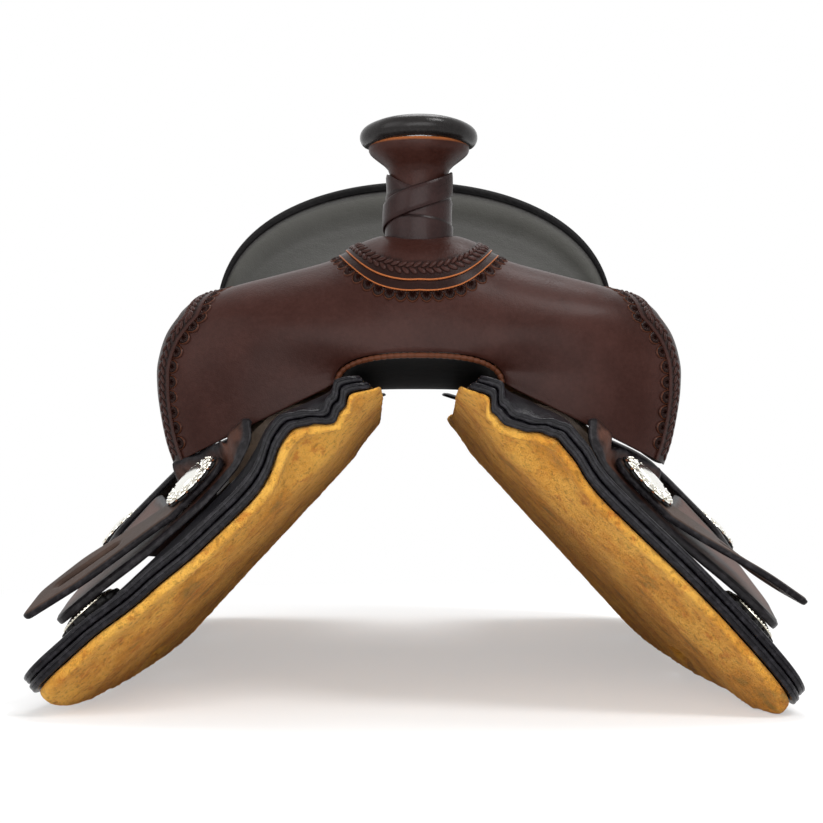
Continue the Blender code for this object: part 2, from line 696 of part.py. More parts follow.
def seat_surface(q, p):
    """Top of the seat: q across from edge to edge, p from the fork to the cantle's rim."""
    around = (1 - 0.9 * q) * pi / 2
    front = Vector((SEAT_FRONT_HALF * q, SEAT_FRONT_Y, SEAT_FRONT_Z - 0.037 * q * q))
    dip = Vector((SEAT_FRONT_HALF * q, SEAT_DIP[0], SEAT_DIP[1] - 0.047 * q * q))
    dish = Vector((SEAT_DISH[0] * q, SEAT_DISH[1] - 0.015 * q * q, SEAT_DISH[2] + 0.012 * q * q))
    rise = CANTLE_END_Z + CANTLE_RISE * max(sin(around), 0.0) ** 0.8
    rim = Vector((CANTLE_HALF * cos(around), CANTLE_END_Y + CANTLE_DEPTH * sin(around), rise))
    m = 1 - p
    return front * m ** 3 + dip * (3 * m * m * p) + dish * (3 * m * p * p) + rim * p ** 3


def seat_at(q, p, n):
    safe_q = min(max(q, -0.99), 0.99)
    shift = offset(seat_surface, safe_q, p, n) - seat_surface(safe_q, p)
    return seat_surface(q, p) + shift


SEAT_QS = [sin(a) for a in spread(-pi / 2, pi / 2, 13)]
SEAT_PS = [0.0, 0.11, 0.22, 0.33, 0.44, 0.56, 0.68, 0.79, 0.89, 0.955, 0.985]
RIM_LIP = SEAT_PS[-2]


def drawn_in(stations, by):
    """The same stations with only the first and last moved inwards."""
    return [stations[0] + by, *stations[1:-1], stations[-1] - by]


def make_seat():
    foam_top = -SEAT_LEATHER - SEAT_GAP
    foam_low = foam_top - FOAM
    base_top = foam_low - SEAT_GAP
    base_low = base_top - GROUND_SEAT
    front = [p for p in SEAT_PS if p <= 0.44]
    rear = [p for p in SEAT_PS if p >= 0.44]
    inner = drawn_in(SEAT_QS, 0.012)
    slab("seat_cover", seat_at, SEAT_QS, SEAT_PS, -SEAT_LEATHER, 0, SEAT_BLACK)
    slab("seat_foam", seat_at, inner, drawn_in(SEAT_PS, 0.004), foam_low, foam_top, FOAM_GREY)
    slab("ground_seat", seat_at, inner, drawn_in(front, 0.006), base_low, base_top, TAN_LEATHER)
    slab("seat_strainer", seat_at, SEAT_QS[4:-4], drawn_in(front, 0.03), base_low - SEAT_GAP - STRAINER,
         base_low - SEAT_GAP, STEEL)
    slab("tree_cantle", seat_at, inner, drawn_in(rear, 0.006), -SEAT_STACK + BACK_LEATHER + 0.001, base_top,
         WOOD)
    slab("cantle_back", seat_at, SEAT_QS, rear[1:], -SEAT_STACK, -SEAT_STACK + BACK_LEATHER, BROWN_LEATHER)
    make_binding()


def make_binding():
    """Leather folded over the cantle's rim, front and back."""
    lip, inner, outer = RIM_LIP, 0.9865, 0.9955
    top = 0.0028
    low = -SEAT_STACK - 0.0030
    section = [
        (lip, SEAT_GAP), (inner, SEAT_GAP), (inner, -SEAT_STACK - SEAT_GAP), (lip, -SEAT_STACK - SEAT_GAP),
        (lip, low), (mix(inner, outer, 0.5), low), (outer, low * 0.8), (outer, -0.003),
        (mix(inner, outer, 0.6), top * 0.8), (inner, top), (lip + 0.004, top), (lip, top * 0.6),
    ]
    loft("cantle_binding", [[seat_at(q, p, n) for p, n in section] for q in SEAT_QS], BLACK_LEATHER)


# Jockeys

FRONT_CUTS = ([-0.306, -0.301, -0.296, -0.282, -0.264, -0.246, -0.228, -0.210],
              [0.042, 0.051, 0.062, 0.0775, 0.100, 0.1225, 0.145, 0.1675, 0.190])
SEAT_CUTS = (spread(-0.165, 0.075, 7), [0.055, 0.078, 0.095, 0.115, 0.136, 0.155])
REAR_CUTS = (spread(0.120, 0.285, 8), [-0.050, -0.035, -0.020, -0.005, 0.010, 0.040, 0.060, 0.088, 0.100])


def jockey_hinge(side):
    """Line along the upper edge of a seat jockey, about which its flap lifts."""
    front, rear = (on_back(side, y, HINGE_S, jockey_height(y, HINGE_S)) for y in HINGE_Y)
    return front, rear


def make_jockeys(label, side):
    sheet(f"front_jockey_{label}", rounded(FRONT_JOCKEY), side_bend(side, front_jockey_height), 0,
          JOCKEY_LEATHER, FRONT_CUTS, BROWN_LEATHER, [circle(*KEEPER_AT, 0.0032)])
    front, rear = jockey_hinge(side)
    flap = sheet(f"seat_jockey_{label}", rounded(SEAT_JOCKEY), side_bend(side, jockey_height), 0,
                 JOCKEY_LEATHER, SEAT_CUTS, BROWN_LEATHER, [circle(*JOCKEY_CONCHO_AT, 0.0027)])
    move_origin(flap, front)
    sheet(f"rear_jockey_{label}", rounded(REAR_JOCKEY), side_bend(side, jockey_height), 0,
          JOCKEY_LEATHER, REAR_CUTS, BROWN_LEATHER)


def move_origin(piece, point):
    """Sets a piece's origin on its joint's axis without moving its shape."""
    piece.data.transform(Matrix.Translation(-point))
    piece.location = point


# Rosettes, conchos, screws and the latigo keepers

def seat_frame(side, y, s, height, lift=0.0):
    """Flat frame on a leather surface: its middle, and axes downhill, rearward and outward."""
    def at(dy, ds):
        return on_back(side, y + dy, s + ds, height(y + dy, s + ds))
    reach = 0.008
    downhill = (at(0, reach) - at(0, -reach)).normalized()
    rearward = (at(reach, 0) - at(-reach, 0)).normalized()
    outward = downhill.cross(rearward) * -side
    if outward.z < 0:
        outward = -outward
    rearward = outward.cross(downhill).normalized() * (1 if outward.cross(downhill).y > 0 else -1)
    outward.normalize()
    return at(0, 0) + outward * lift, downhill, rearward, outward


def disc(name, frame, rows, radius_at, sides, finish_with, bore=0.0):
    """Round piece in a flat frame from (share of radius, height) rows, with a scalloped radius."""
    middle, downhill, rearward, outward = frame
    bm = bmesh.new()

    def place(radius, angle, height):
        return middle + (downhill * cos(angle) + rearward * sin(angle)) * radius + outward * height
    rings = []
    for share, height in rows:
        if share == 0:
            rings.append([bm.verts.new(place(0, 0, height))] * sides)
            continue
        rings.append([])
        for k in range(sides):
            angle = 2 * pi * k / sides
            radius = bore if share < 0 else radius_at(angle, share) * share
            rings[-1].append(bm.verts.new(place(radius, angle, height)))
    hollow = all(share != 0 for share, height in rows)
    pairs = list(zip(rings, rings[1:])) + ([(rings[-1], rings[0])] if hollow else [])
    for first, second in pairs:
        for k in range(sides):
            after = (k + 1) % sides
            corners = [first[k], first[after], second[after], second[k]]
            face = [vert for index, vert in enumerate(corners) if vert not in corners[:index]]
            if len(face) > 2:
                bm.faces.new(face)
    return finish(name, bm, *finish_with)


def scalloped(radius, lobes, depth):
    """Radius with rounded lobes that fade out towards the middle."""
    def at(angle, share):
        wave = abs(cos(lobes * angle / 2))
        return radius * (1 - depth * (1 - wave) * smooth(0.75, 1.0, share))
    return at


def plain(radius):
    return lambda angle, share: radius


def rosette(name, frame, radius, thickness, lobes, finish_with=BLACK_LEATHER):
    rows = [(share, height * thickness) for share, height in ROSETTE_ROWS]
    return disc(name, frame, rows, scalloped(radius, lobes, 0.07), 2 * lobes, finish_with, ROSETTE_BORE)


def raise_frame(frame, by):
    middle, downhill, rearward, outward = frame
    return middle + outward * by, downhill, rearward, outward


def screw(name, frame, low, high):
    """Screw shank from low to high on the frame's axis, with a pointed tip."""
    rows = [(0, low - 0.0015), (0.5, low), (1, low + 0.002), (1, high), (0, high)]
    return disc(name, frame, rows, plain(SCREW_RADIUS), 8, STEEL)


def keeper_height(y, s):
    return front_jockey_height(y, s) + JOCKEY_LEATHER


def make_keeper(label, side):
    """Slotted strap on the front screw, lifting off the jockey towards its tip."""
    frame = seat_frame(side, *KEEPER_AT, keeper_height, KEEPER_STANDOFF)
    middle, run, rearward, outward = frame
    half = KEEPER_HALF_WIDTH
    corners = [(-KEEPER_BEHIND, -half * 0.8, 0.016), (0.030, -half * 0.9, 0), (KEEPER_REACH, -half, 0.019),
               (KEEPER_REACH - 0.010, half, 0.019), (0.030, half * 0.95, 0),
               (-KEEPER_BEHIND, half * 0.8, 0.016)]

    def bend(a, b, n):
        untwist = KEEPER_UNTWIST[label] * smooth(KEEPER_BEND_AT, 0.10, a)
        across = rearward * cos(untwist) + outward * sin(untwist)
        up = outward * cos(untwist) - rearward * sin(untwist)
        lift = KEEPER_RISE[label] * max(a - KEEPER_BEND_AT, 0.0)
        return middle + run * a + outward * lift + across * b + up * n
    strap = sheet(f"latigo_keeper_{label}", rounded(corners), bend, 0, KEEPER_LEATHER,
                  (spread(-0.010, 0.110, 9), [0.0]), BROWN_LEATHER,
                  [circle(0, 0, ROSETTE_BORE), slot(*KEEPER_SLOT)])
    move_origin(strap, middle)
    top = KEEPER_LEATHER + GAP
    rosette(f"front_rosette_{label}", raise_frame(frame, top), 0.0215, ROSETTE_LEATHER, 12)
    disc(f"front_concho_{label}", raise_frame(frame, top + ROSETTE_LEATHER + GAP), CONCHO_ROWS,
         scalloped(0.0205, 12, 0.06), 24, SILVER)
    screw(f"front_screw_{label}", frame, -JOCKEY_LEATHER - KEEPER_STANDOFF - 0.0015, top + ROSETTE_LEATHER)


def make_skirt_concho(label, side):
    frame = seat_frame(side, *SKIRT_CONCHO_AT, lambda y, s: SKIRT_TOP, GAP)
    rosette(f"skirt_rosette_{label}", frame, 0.0235, SKIRT_ROSETTE_LEATHER, 14)
    disc(f"skirt_concho_{label}", raise_frame(frame, SKIRT_ROSETTE_LEATHER + GAP), DOME_ROWS, plain(0.0200),
         24, SILVER)


def make_jockey_concho(label, side):
    front, rear = jockey_hinge(side)
    frame = seat_frame(side, *JOCKEY_CONCHO_AT, lambda y, s: jockey_height(y, s) + JOCKEY_LEATHER, 0.0008)
    pieces = [
        rosette(f"jockey_rosette_{label}", frame, 0.0205, ROSETTE_LEATHER, 12),
        disc(f"jockey_concho_{label}", raise_frame(frame, ROSETTE_LEATHER + GAP), CONCHO_ROWS,
             scalloped(0.0185, 12, 0.06), 24, SILVER),
        screw(f"jockey_screw_{label}", frame, -JOCKEY_LEATHER - 0.0030, ROSETTE_LEATHER),
    ]
    for piece in pieces:
        move_origin(piece, front)


# Rigging

def make_rigging(label, side):
    """Flat slotted steel plates on the skirt, each held by a riveted strip."""
    for place, at in (("front", FRONT_PLATE_AT), ("rear", REAR_PLATE_AT)):
        middle, downhill, rearward, outward = seat_frame(side, *at, lambda y, s: SKIRT_TOP)

        def flat(a, b, n):
            return middle + rearward * a + downhill * b + outward * n
        sheet(f"{place}_rigging_plate_{label}", rounded(PLATE_CORNERS), flat, 0, PLATE_THICKNESS,
              ([], []), STEEL, [slot(0, 0, *LATIGO_SLOT)])
        make_rivet_strip(f"{place}_rivet_strip_{label}", flat)


def make_rivet_strip(name, flat):
    """Thin strip that swells into a domed rivet head at each rivet."""
    base = PLATE_THICKNESS + GAP
    stations = []
    for rivet in range(RIVET_COUNT):
        middle = (rivet - (RIVET_COUNT - 1) / 2) * RIVET_STEP
        stations += [(middle - 0.0042, *RIVET_NECK), (middle - 0.0021, *RIVET_HEAD),
                     (middle + 0.0021, *RIVET_HEAD), (middle + 0.0042, *RIVET_NECK)]
    rings = []
    for a, half, height in stations:
        section = [(-half, 0), (half, 0), (half * 0.8, height * 0.7), (0, height), (-half * 0.8, height * 0.7)]
        rings.append([flat(a, RIVET_ROW + b, base + n) for b, n in section])
    loft(name, rings, STEEL)


for label, side in SIDES.items():
    make_skirts(label, side)
    make_bar(label, side)
    make_jockeys(label, side)
    make_keeper(label, side)
    make_skirt_concho(label, side)
    make_jockey_concho(label, side)
    make_rigging(label, side)
make_fork()
make_gullet()
make_horn()
make_seat()
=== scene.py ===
# %% [markdown]
# # A western trail saddle
#
# The solids of the saddle come in as a fixed frame. Each solid says where a piece of wood, steel or
# leather is and how big it is. This lesson dresses them: some keep their shape and get a finish, and
# the leather, the wool and the silver are modelled again with the detail that a close look shows.

# %% Load the frame
import json
from bisect import bisect_right
from math import atan2, cos, exp, floor, hypot, pi, radians, sin

import bmesh
import bpy
from mathutils import Matrix, Vector, noise
from mathutils.geometry import delaunay_2d_cdt
from mathutils.kdtree import KDTree


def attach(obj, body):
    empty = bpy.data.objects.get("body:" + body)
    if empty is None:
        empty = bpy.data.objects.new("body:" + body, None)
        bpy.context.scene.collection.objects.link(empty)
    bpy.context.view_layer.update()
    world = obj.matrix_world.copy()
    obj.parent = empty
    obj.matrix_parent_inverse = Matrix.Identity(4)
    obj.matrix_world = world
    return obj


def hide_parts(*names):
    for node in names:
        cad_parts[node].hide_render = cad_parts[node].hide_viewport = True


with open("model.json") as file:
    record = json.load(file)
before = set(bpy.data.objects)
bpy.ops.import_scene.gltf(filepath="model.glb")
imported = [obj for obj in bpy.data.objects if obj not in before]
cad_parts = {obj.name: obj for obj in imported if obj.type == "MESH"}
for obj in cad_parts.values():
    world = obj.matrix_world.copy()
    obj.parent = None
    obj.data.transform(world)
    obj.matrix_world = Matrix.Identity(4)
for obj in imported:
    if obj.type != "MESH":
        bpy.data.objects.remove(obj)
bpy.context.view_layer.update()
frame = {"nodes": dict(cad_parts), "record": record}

SIDES = {"off": -1, "near": 1}

# %% [markdown]
# The photograph looks straight at the front of the saddle from a metre and a half away, level with
# the middle of its height. The saddle faces -Y, so the camera stands on -Y. Its lens follows from the
# horn: a 76 mm cap spans 118 of the picture's 823 pixels at 1.3 m. The camera stays level, and its
# shift puts the point straight ahead of it on LEVEL_PIXEL.

# %% Camera
CAMERA_AT = Vector((-0.0122, -1.54, 0.174))
FRAME_PIXELS = 823
FOCAL_PIXELS = 2012
LEVEL_PIXEL = Vector((400, 430))
SENSOR_MM = 36

camera_data = bpy.data.cameras.new("camera")
camera = bpy.data.objects.new("camera", camera_data)
bpy.context.scene.collection.objects.link(camera)
camera_data.sensor_width = SENSOR_MM
camera_data.lens = FOCAL_PIXELS / FRAME_PIXELS * SENSOR_MM
camera_data.shift_x = (FRAME_PIXELS / 2 - LEVEL_PIXEL.x) / FRAME_PIXELS
camera_data.shift_y = (LEVEL_PIXEL.y - FRAME_PIXELS / 2) / FRAME_PIXELS
camera.location = CAMERA_AT
camera.rotation_euler = (pi / 2, 0, 0)
bpy.context.scene.camera = camera
bpy.context.scene.view_settings.view_transform = "Standard"
print("lens", round(camera_data.lens, 1), "mm")

# %% [markdown]
# Every finish is a small node tree. A helper class wraps a shader socket, so that a formula such as
# `1 - mask * 0.4` adds its own Math nodes, and one method adds any other node by its type.

# %% Shader helpers


class Signal:
    """A value inside a shader, on which Python's operators add Math nodes."""

    def __init__(self, tree, socket):
        self.tree = tree
        self.socket = socket

    def maths(self, operation, *values):
        return self.tree.node("ShaderNodeMath", {"operation": operation}, dict(enumerate([self, *values])))

    def __add__(self, other):
        return self.maths("ADD", other)

    def __sub__(self, other):
        return self.maths("SUBTRACT", other)

    def __rsub__(self, other):
        return self.tree.node("ShaderNodeMath", {"operation": "SUBTRACT"}, {0: other, 1: self})

    def __mul__(self, other):
        return self.maths("MULTIPLY", other)

    __radd__ = __add__
    __rmul__ = __mul__

    def clamped(self, low, high):
        """0 below low and 1 above high, with a smooth step between."""
        return self.tree.node("ShaderNodeMapRange", {"interpolation_type": "SMOOTHSTEP"},
                              {"Value": self, "From Min": low, "From Max": high})


class NodeTree:
    """The nodes of a material or of the world, added one at a time."""

    def __init__(self, tree):
        self.nodes = tree.nodes
        self.links = tree.links

    def node(self, kind, settings=(), inputs=(), output=0):
        """Adds a node: settings first, then its sockets, and returns one output."""
        made = self.nodes.new(kind)
        for key, value in dict(settings).items():
            setattr(made, key, value)
        for key, value in dict(inputs).items():
            self.feed(made.inputs[key], value)
        return Signal(self, made.outputs[output])

    def feed(self, socket, value):
        """Links a signal to a socket, or sets the socket to a number, a vector or a colour."""
        if isinstance(value, Signal):
            self.links.new(value.socket, socket)
        elif isinstance(value, tuple) and len(socket.default_value) == 4:
            socket.default_value = (*value, 1)
        else:
            socket.default_value = value


class Finish(NodeTree):
    """A material under construction."""

    def __init__(self, name):
        self.material = bpy.data.materials.new(name)
        self.material.use_nodes = True
        super().__init__(self.material.node_tree)
        self.shader = self.nodes["Principled BSDF"]
        self.place = self.node("ShaderNodeTexCoord", output="Object")

    def noise(self, scale, detail=4, roughness=0.55, stretch=None):
        """Clouds with a given number of lumps to the metre."""
        place = self.place
        if stretch:
            place = self.node("ShaderNodeMapping", {}, {"Vector": place, "Scale": stretch})
        return self.node("ShaderNodeTexNoise", {}, {"Vector": place, "Scale": scale, "Detail": detail,
                                                    "Roughness": roughness})

    def cells(self, scale):
        """Cells with a given number to the metre."""
        return self.node("ShaderNodeTexVoronoi", {}, {"Vector": self.place, "Scale": scale}, "Distance")

    def attribute(self, name):
        return self.node("ShaderNodeAttribute", {"attribute_name": name}, output="Fac")

    def mixed(self, a, b, factor):
        """Blends two colours by a factor."""
        return self.node("ShaderNodeMix", {"data_type": "RGBA"}, {0: factor, 6: a, 7: b}, 2)

    def bump(self, height, distance, normal=None):
        """Tilts the surface by a height, in metres, on top of an earlier bump."""
        inputs = {"Height": height, "Distance": distance}
        if normal is not None:
            inputs["Normal"] = normal
        return self.node("ShaderNodeBump", {}, inputs)

    def set(self, **sockets):
        """Sets the shader's sockets by name, with underscores for spaces."""
        for key, value in sockets.items():
            self.feed(self.shader.inputs[key.replace("_", " ")], value)
        return self.material


print("helpers for shader nodes are ready")

# %% [markdown]
# The studio is a pale floor that runs off to white, and four large soft lamps. The floor and the sky
# look white to the camera through the Light Path node, not through stronger lamps, so the leather
# keeps its own dark colours and the floor still takes a shadow. Near the saddle the floor glows by
# FLOOR_GLOW only, and past FLOOR_FADE it is all white.

# %% Sky and floor
WHITE = (1, 1, 1)
SKY_LIGHT = 0.55
FLOOR_SIZE = 14
FLOOR_GREY = (0.94, 0.94, 0.94)
FLOOR_FADE = (0.30, 0.75)
FLOOR_GLOW = 0.40
BELOW_SADDLE = 0.0005


def seen_directly(tree):
    """1 for camera, glossy and transmission rays, and 0 for the rest."""
    camera_ray, glossy_ray, clear_ray = (tree.node("ShaderNodeLightPath", output=f"Is {kind} Ray")
                                         for kind in ("Camera", "Glossy", "Transmission"))
    return (camera_ray + glossy_ray + clear_ray).maths("MINIMUM", 1)


world = bpy.data.worlds.new("studio")
bpy.context.scene.world = world
world.use_nodes = True
sky = NodeTree(world.node_tree)
lighting = sky.nodes["Background"]
sky.feed(lighting.inputs["Color"], WHITE)
sky.feed(lighting.inputs["Strength"], SKY_LIGHT)
white_sky = sky.node("ShaderNodeBackground", {}, {"Color": WHITE, "Strength": 1.0})
both = sky.node("ShaderNodeMixShader", {},
                {"Fac": seen_directly(sky), 1: Signal(sky, lighting.outputs[0]), 2: white_sky})
sky.feed(sky.nodes["World Output"].inputs["Surface"], both)

bpy.ops.object.select_all(action="DESELECT")
bpy.ops.mesh.primitive_plane_add(size=FLOOR_SIZE, location=(0, 0, -BELOW_SADDLE))
ground = bpy.context.object
ground.name = "floor"
paint = Finish("floor_paint")
paint.set(Base_Color=FLOOR_GREY, Roughness=0.9)
from_middle = paint.node("ShaderNodeVectorMath", {"operation": "LENGTH"}, {0: paint.place}, "Value")
white_share = from_middle.clamped(*FLOOR_FADE).maths("MAXIMUM", FLOOR_GLOW) * seen_directly(paint)
glow = paint.node("ShaderNodeEmission", {}, {"Color": WHITE})
both = paint.node("ShaderNodeMixShader", {},
                  {"Fac": white_share, 1: Signal(paint, paint.shader.outputs[0]), 2: glow})
paint.feed(paint.nodes["Material Output"].inputs["Surface"], both)
ground.data.materials.append(paint.material)
print("floor", FLOOR_SIZE, "m wide")

# %% Lamps


def lamp(name, place, target, size, power):
    """A square area lamp that looks at a target."""
    data = bpy.data.lights.new(name, "AREA")
    data.size = size
    data.energy = power
    thing = bpy.data.objects.new(name, data)
    bpy.context.scene.collection.objects.link(thing)
    thing.location = place
    thing.rotation_euler = (Vector(target) - Vector(place)).to_track_quat("-Z", "Y").to_euler()


SADDLE_MIDDLE = (0, -0.1, 0.2)
SKIRT_HEIGHT = (0, 0, 0.10)
lamp("key", (0.9, -1.1, 1.8), SADDLE_MIDDLE, 0.7, 22)
lamp("fill", (-1.5, -1.3, 0.8), SADDLE_MIDDLE, 1.2, 8)
lamp("top", (0.1, 0.4, 1.9), SADDLE_MIDDLE, 1.0, 20)
lamp("low", (0.0, -1.7, 0.0), SKIRT_HEIGHT, 1.5, 26)
print("lamps:", len(bpy.data.lights))

# %% [markdown]
# Saddle leather is skirting leather, dyed and oiled. A close look shows a fine pebble grain, clouds
# where the oil soaked in, and a burnished edge. Numbers kept on a piece's points say where its finish
# changes: `edge` marks the burnished edge, `dye` the antique dye that settles into tooling, `raw` cut
# leather that was left undyed, and `pale` a painted sheen, leather painted lighter where light would catch
# it.

# %% Leather
BURNISHED = (0.007, 0.006, 0.007)
RAW_LEATHER = (0.42, 0.13, 0.040)
DYED = 0.22
# How much lighter the `pale` mark paints leather: a painted sheen.
PAINTED_SHEEN = 2.6


def shade(colour, share, lift=0.0):
    """The same hue, darker or lighter."""
    return tuple(c * share + lift for c in colour)


def leather(name, face, roughness, edge=BURNISHED, grain=0.00012, coat=0.0, mottle=0.35, gloss=0.12):
    """Dyed leather with grain, clouds and burnished edges."""
    finish = Finish(name)
    clouds = finish.noise(26, 5, 0.6)
    specks = finish.noise(420, 3, 0.5)
    oiled = (clouds * 0.75 + specks * 0.25).clamped(0.30, 0.70)
    colour = finish.mixed(shade(face, 1 - mottle), shade(face, 1 + mottle, 0.004), oiled)
    colour = finish.mixed(colour, shade(face, DYED), finish.attribute("dye"))
    # Painted sheen: the `pale` mark lightens the colour where light would catch the leather.
    colour = finish.mixed(colour, shade(face, PAINTED_SHEEN), finish.attribute("pale"))
    colour = finish.mixed(colour, RAW_LEATHER, finish.attribute("raw"))
    rim = finish.attribute("edge")
    rim_streaks = finish.noise(260, 4, 0.6)
    rim_colour = finish.mixed(edge, shade(edge, 2.4, 0.006), rim_streaks.clamped(0.45, 0.72))
    colour = finish.mixed(colour, rim_colour, rim)
    pebbles = finish.cells(1500)
    pores = finish.cells(620)
    height = pebbles * 0.6 + pores * 0.4 + specks * 0.5
    creases = finish.noise(75, 6, 0.65)
    normal = finish.bump(creases, 0.0004)
    normal = finish.bump(height, grain, normal)
    shine = clouds * 0.16 + specks * 0.12 + (roughness - 0.14)
    return finish.set(Base_Color=colour, Roughness=shine - rim * 0.10, Normal=normal, Coat_Weight=coat,
                      Coat_Roughness=0.24, Specular_IOR_Level=gloss)


LEATHER_LOOKS = {
    "fork_leather": dict(face=(0.028, 0.0084, 0.0058), roughness=0.36, coat=0.05, mottle=0.22, gloss=0.07),
    "jockey_leather": dict(face=(0.062, 0.024, 0.015), roughness=0.46, mottle=0.3),
    "keeper_leather": dict(face=(0.044, 0.026, 0.019), roughness=0.48, mottle=0.3, gloss=0.07),
    "skirt_leather": dict(face=(0.006, 0.0055, 0.007), edge=(0.005, 0.0045, 0.006), roughness=0.36,
                          coat=0.04),
    "liner_leather": dict(face=(0.0022, 0.0022, 0.0026), roughness=0.55, gloss=0.004),
    "binding_leather": dict(face=(0.0042, 0.0038, 0.0040), roughness=0.44, gloss=0.03),
    "horn_leather": dict(face=(0.0055, 0.0042, 0.004), roughness=0.24, coat=0.20, grain=0.00006),
    "wrap_leather": dict(face=(0.016, 0.0062, 0.0056), roughness=0.30, coat=0.06, gloss=0.10),
    "rosette_leather": dict(face=(0.005, 0.0045, 0.0045), roughness=0.40),
    "seat_leather": dict(face=(0.0195, 0.0190, 0.0168), roughness=0.42, mottle=0.14),
    "ground_seat_leather": dict(face=(0.32, 0.16, 0.07), edge=(0.2, 0.1, 0.05), roughness=0.6),
}
LEATHERS = {name: leather(name, **look) for name, look in LEATHER_LOOKS.items()}
print("leathers:", ", ".join(LEATHERS))

# %% [markdown]
# The other finishes: golden fleece with orange and olive patches, satin steel, engraved silver, the
# rawhide skin of the tree, painted dark brown as painted shade, and the grey foam inside the seat, which the
# seat's cover hides.

# %% Wool, metal, rawhide and foam


def fleece_finish():
    """Golden wool: patches and locks, with painted shade in the hollows between tufts and painted highlight
    on their tips.
    """
    finish = Finish("fleece")
    patches = finish.noise(22, 5, 0.65)
    locks = finish.noise(95, 6, 0.72)
    tufts = finish.noise(260, 5, 0.75)
    fibres = finish.noise(1100, 3, 0.6)
    colour = finish.mixed((0.70, 0.295, 0.036), (0.92, 0.500, 0.090), patches.clamped(0.36, 0.64))
    colour = finish.mixed(colour, (0.56, 0.145, 0.016), locks.clamped(0.53, 0.66) * 0.65)
    colour = finish.mixed(colour, (0.25, 0.175, 0.040), (1 - patches).clamped(0.57, 0.72) * 0.7)
    # Painted shade: darker where the tufts dip, in the hollows of their bump.
    colour = finish.mixed(colour, (0.30, 0.115, 0.015), (1 - tufts).clamped(0.50, 0.66) * 0.6)
    # Painted highlight: lighter where the tufts rise, on their tips.
    colour = finish.mixed(colour, (0.86, 0.58, 0.17), tufts.clamped(0.58, 0.74) * 0.6)
    colour = finish.mixed(colour, (0.95, 0.36, 0.03), finish.attribute("raw"))
    normal = finish.bump(locks, 0.006)
    normal = finish.bump(tufts, 0.003, normal)
    normal = finish.bump(fibres, 0.0012, normal)
    return finish.set(Base_Color=colour, Roughness=0.95, Normal=normal, Sheen_Weight=0.10,
                      Sheen_Roughness=0.4, Specular_IOR_Level=0.10)


def steel_finish():
    """Satin steel with fine scratches."""
    finish = Finish("steel")
    scratches = finish.noise(700, 3, 0.6, stretch=(1, 0.12, 1))
    stain = finish.noise(40, 4)
    colour = finish.mixed((0.46, 0.46, 0.47), (0.60, 0.60, 0.61), stain)
    return finish.set(Base_Color=colour, Metallic=1.0, Roughness=scratches * 0.25 + 0.22,
                      Normal=finish.bump(scratches, 0.00003))


def silver_finish():
    """Silver with brown tarnish in its hollows, which `dye` marks."""
    finish = Finish("silver")
    tarnish = finish.noise(260, 4, 0.6)
    brushed = finish.noise(1800, 2, 0.5)
    colour = finish.mixed((0.90, 0.89, 0.84), (0.42, 0.38, 0.28), finish.attribute("dye") * 0.85)
    colour = finish.mixed(colour, (0.66, 0.62, 0.50), tarnish.clamped(0.60, 0.80) * 0.5)
    return finish.set(Base_Color=colour, Metallic=1.0, Roughness=brushed * 0.14 + 0.14,
                      Normal=finish.bump(brushed, 0.00002))


def shade_dark_rawhide_finish():
    """Rawhide with darker veins, its colour painted dark brown as painted shade, since the tree shows only in
    shade.
    """
    finish = Finish("rawhide")
    clouds = finish.noise(30, 5)
    veins = finish.noise(120, 6, 0.7, stretch=(1, 0.25, 1))
    # Painted shade: dark browns, not rawhide's own pale colour, stand for the shade the tree sits in.
    colour = finish.mixed((0.060, 0.034, 0.018), (0.110, 0.066, 0.034), clouds.clamped(0.3, 0.7))
    colour = finish.mixed(colour, (0.040, 0.020, 0.010), veins.clamped(0.58, 0.72) * 0.6)
    return finish.set(Base_Color=colour, Roughness=clouds * 0.2 + 0.42, Normal=finish.bump(veins, 0.0008))


def foam_finish():
    """Grey foam with open bubbles."""
    finish = Finish("foam")
    bubbles = finish.cells(900)
    colour = finish.mixed((0.25, 0.25, 0.24), (0.36, 0.36, 0.34), bubbles)
    return finish.set(Base_Color=colour, Roughness=0.9, Normal=finish.bump(bubbles, 0.0006))


FINISHES = {**LEATHERS, "fleece": fleece_finish(), "steel": steel_finish(), "silver": silver_finish(),
            "tree_wood": shade_dark_rawhide_finish(), "seat_foam": foam_finish()}
slot_of = {row["node"]: row["material_slot"] for row in frame["record"]["subparts"]}
for name, node in frame["nodes"].items():
    node.data.materials.clear()
    node.data.materials.append(FINISHES[slot_of[name]])
print("finished", len(slot_of), "solids")

# %% [markdown]
# Leather that lies on the horse is cut flat and then takes the shape of the back. Every pattern here
# is drawn on a flat table, where y runs along the horse and s down its side, and one formula lays it
# on the back at a height n. The solids were made from the same formula, so the pieces land on them.
# The slope changes along the horse, the shoulder lifts the leather over the front tip of the bar, and
# the front of each skirt flexes and curls, not alike on the two sides.

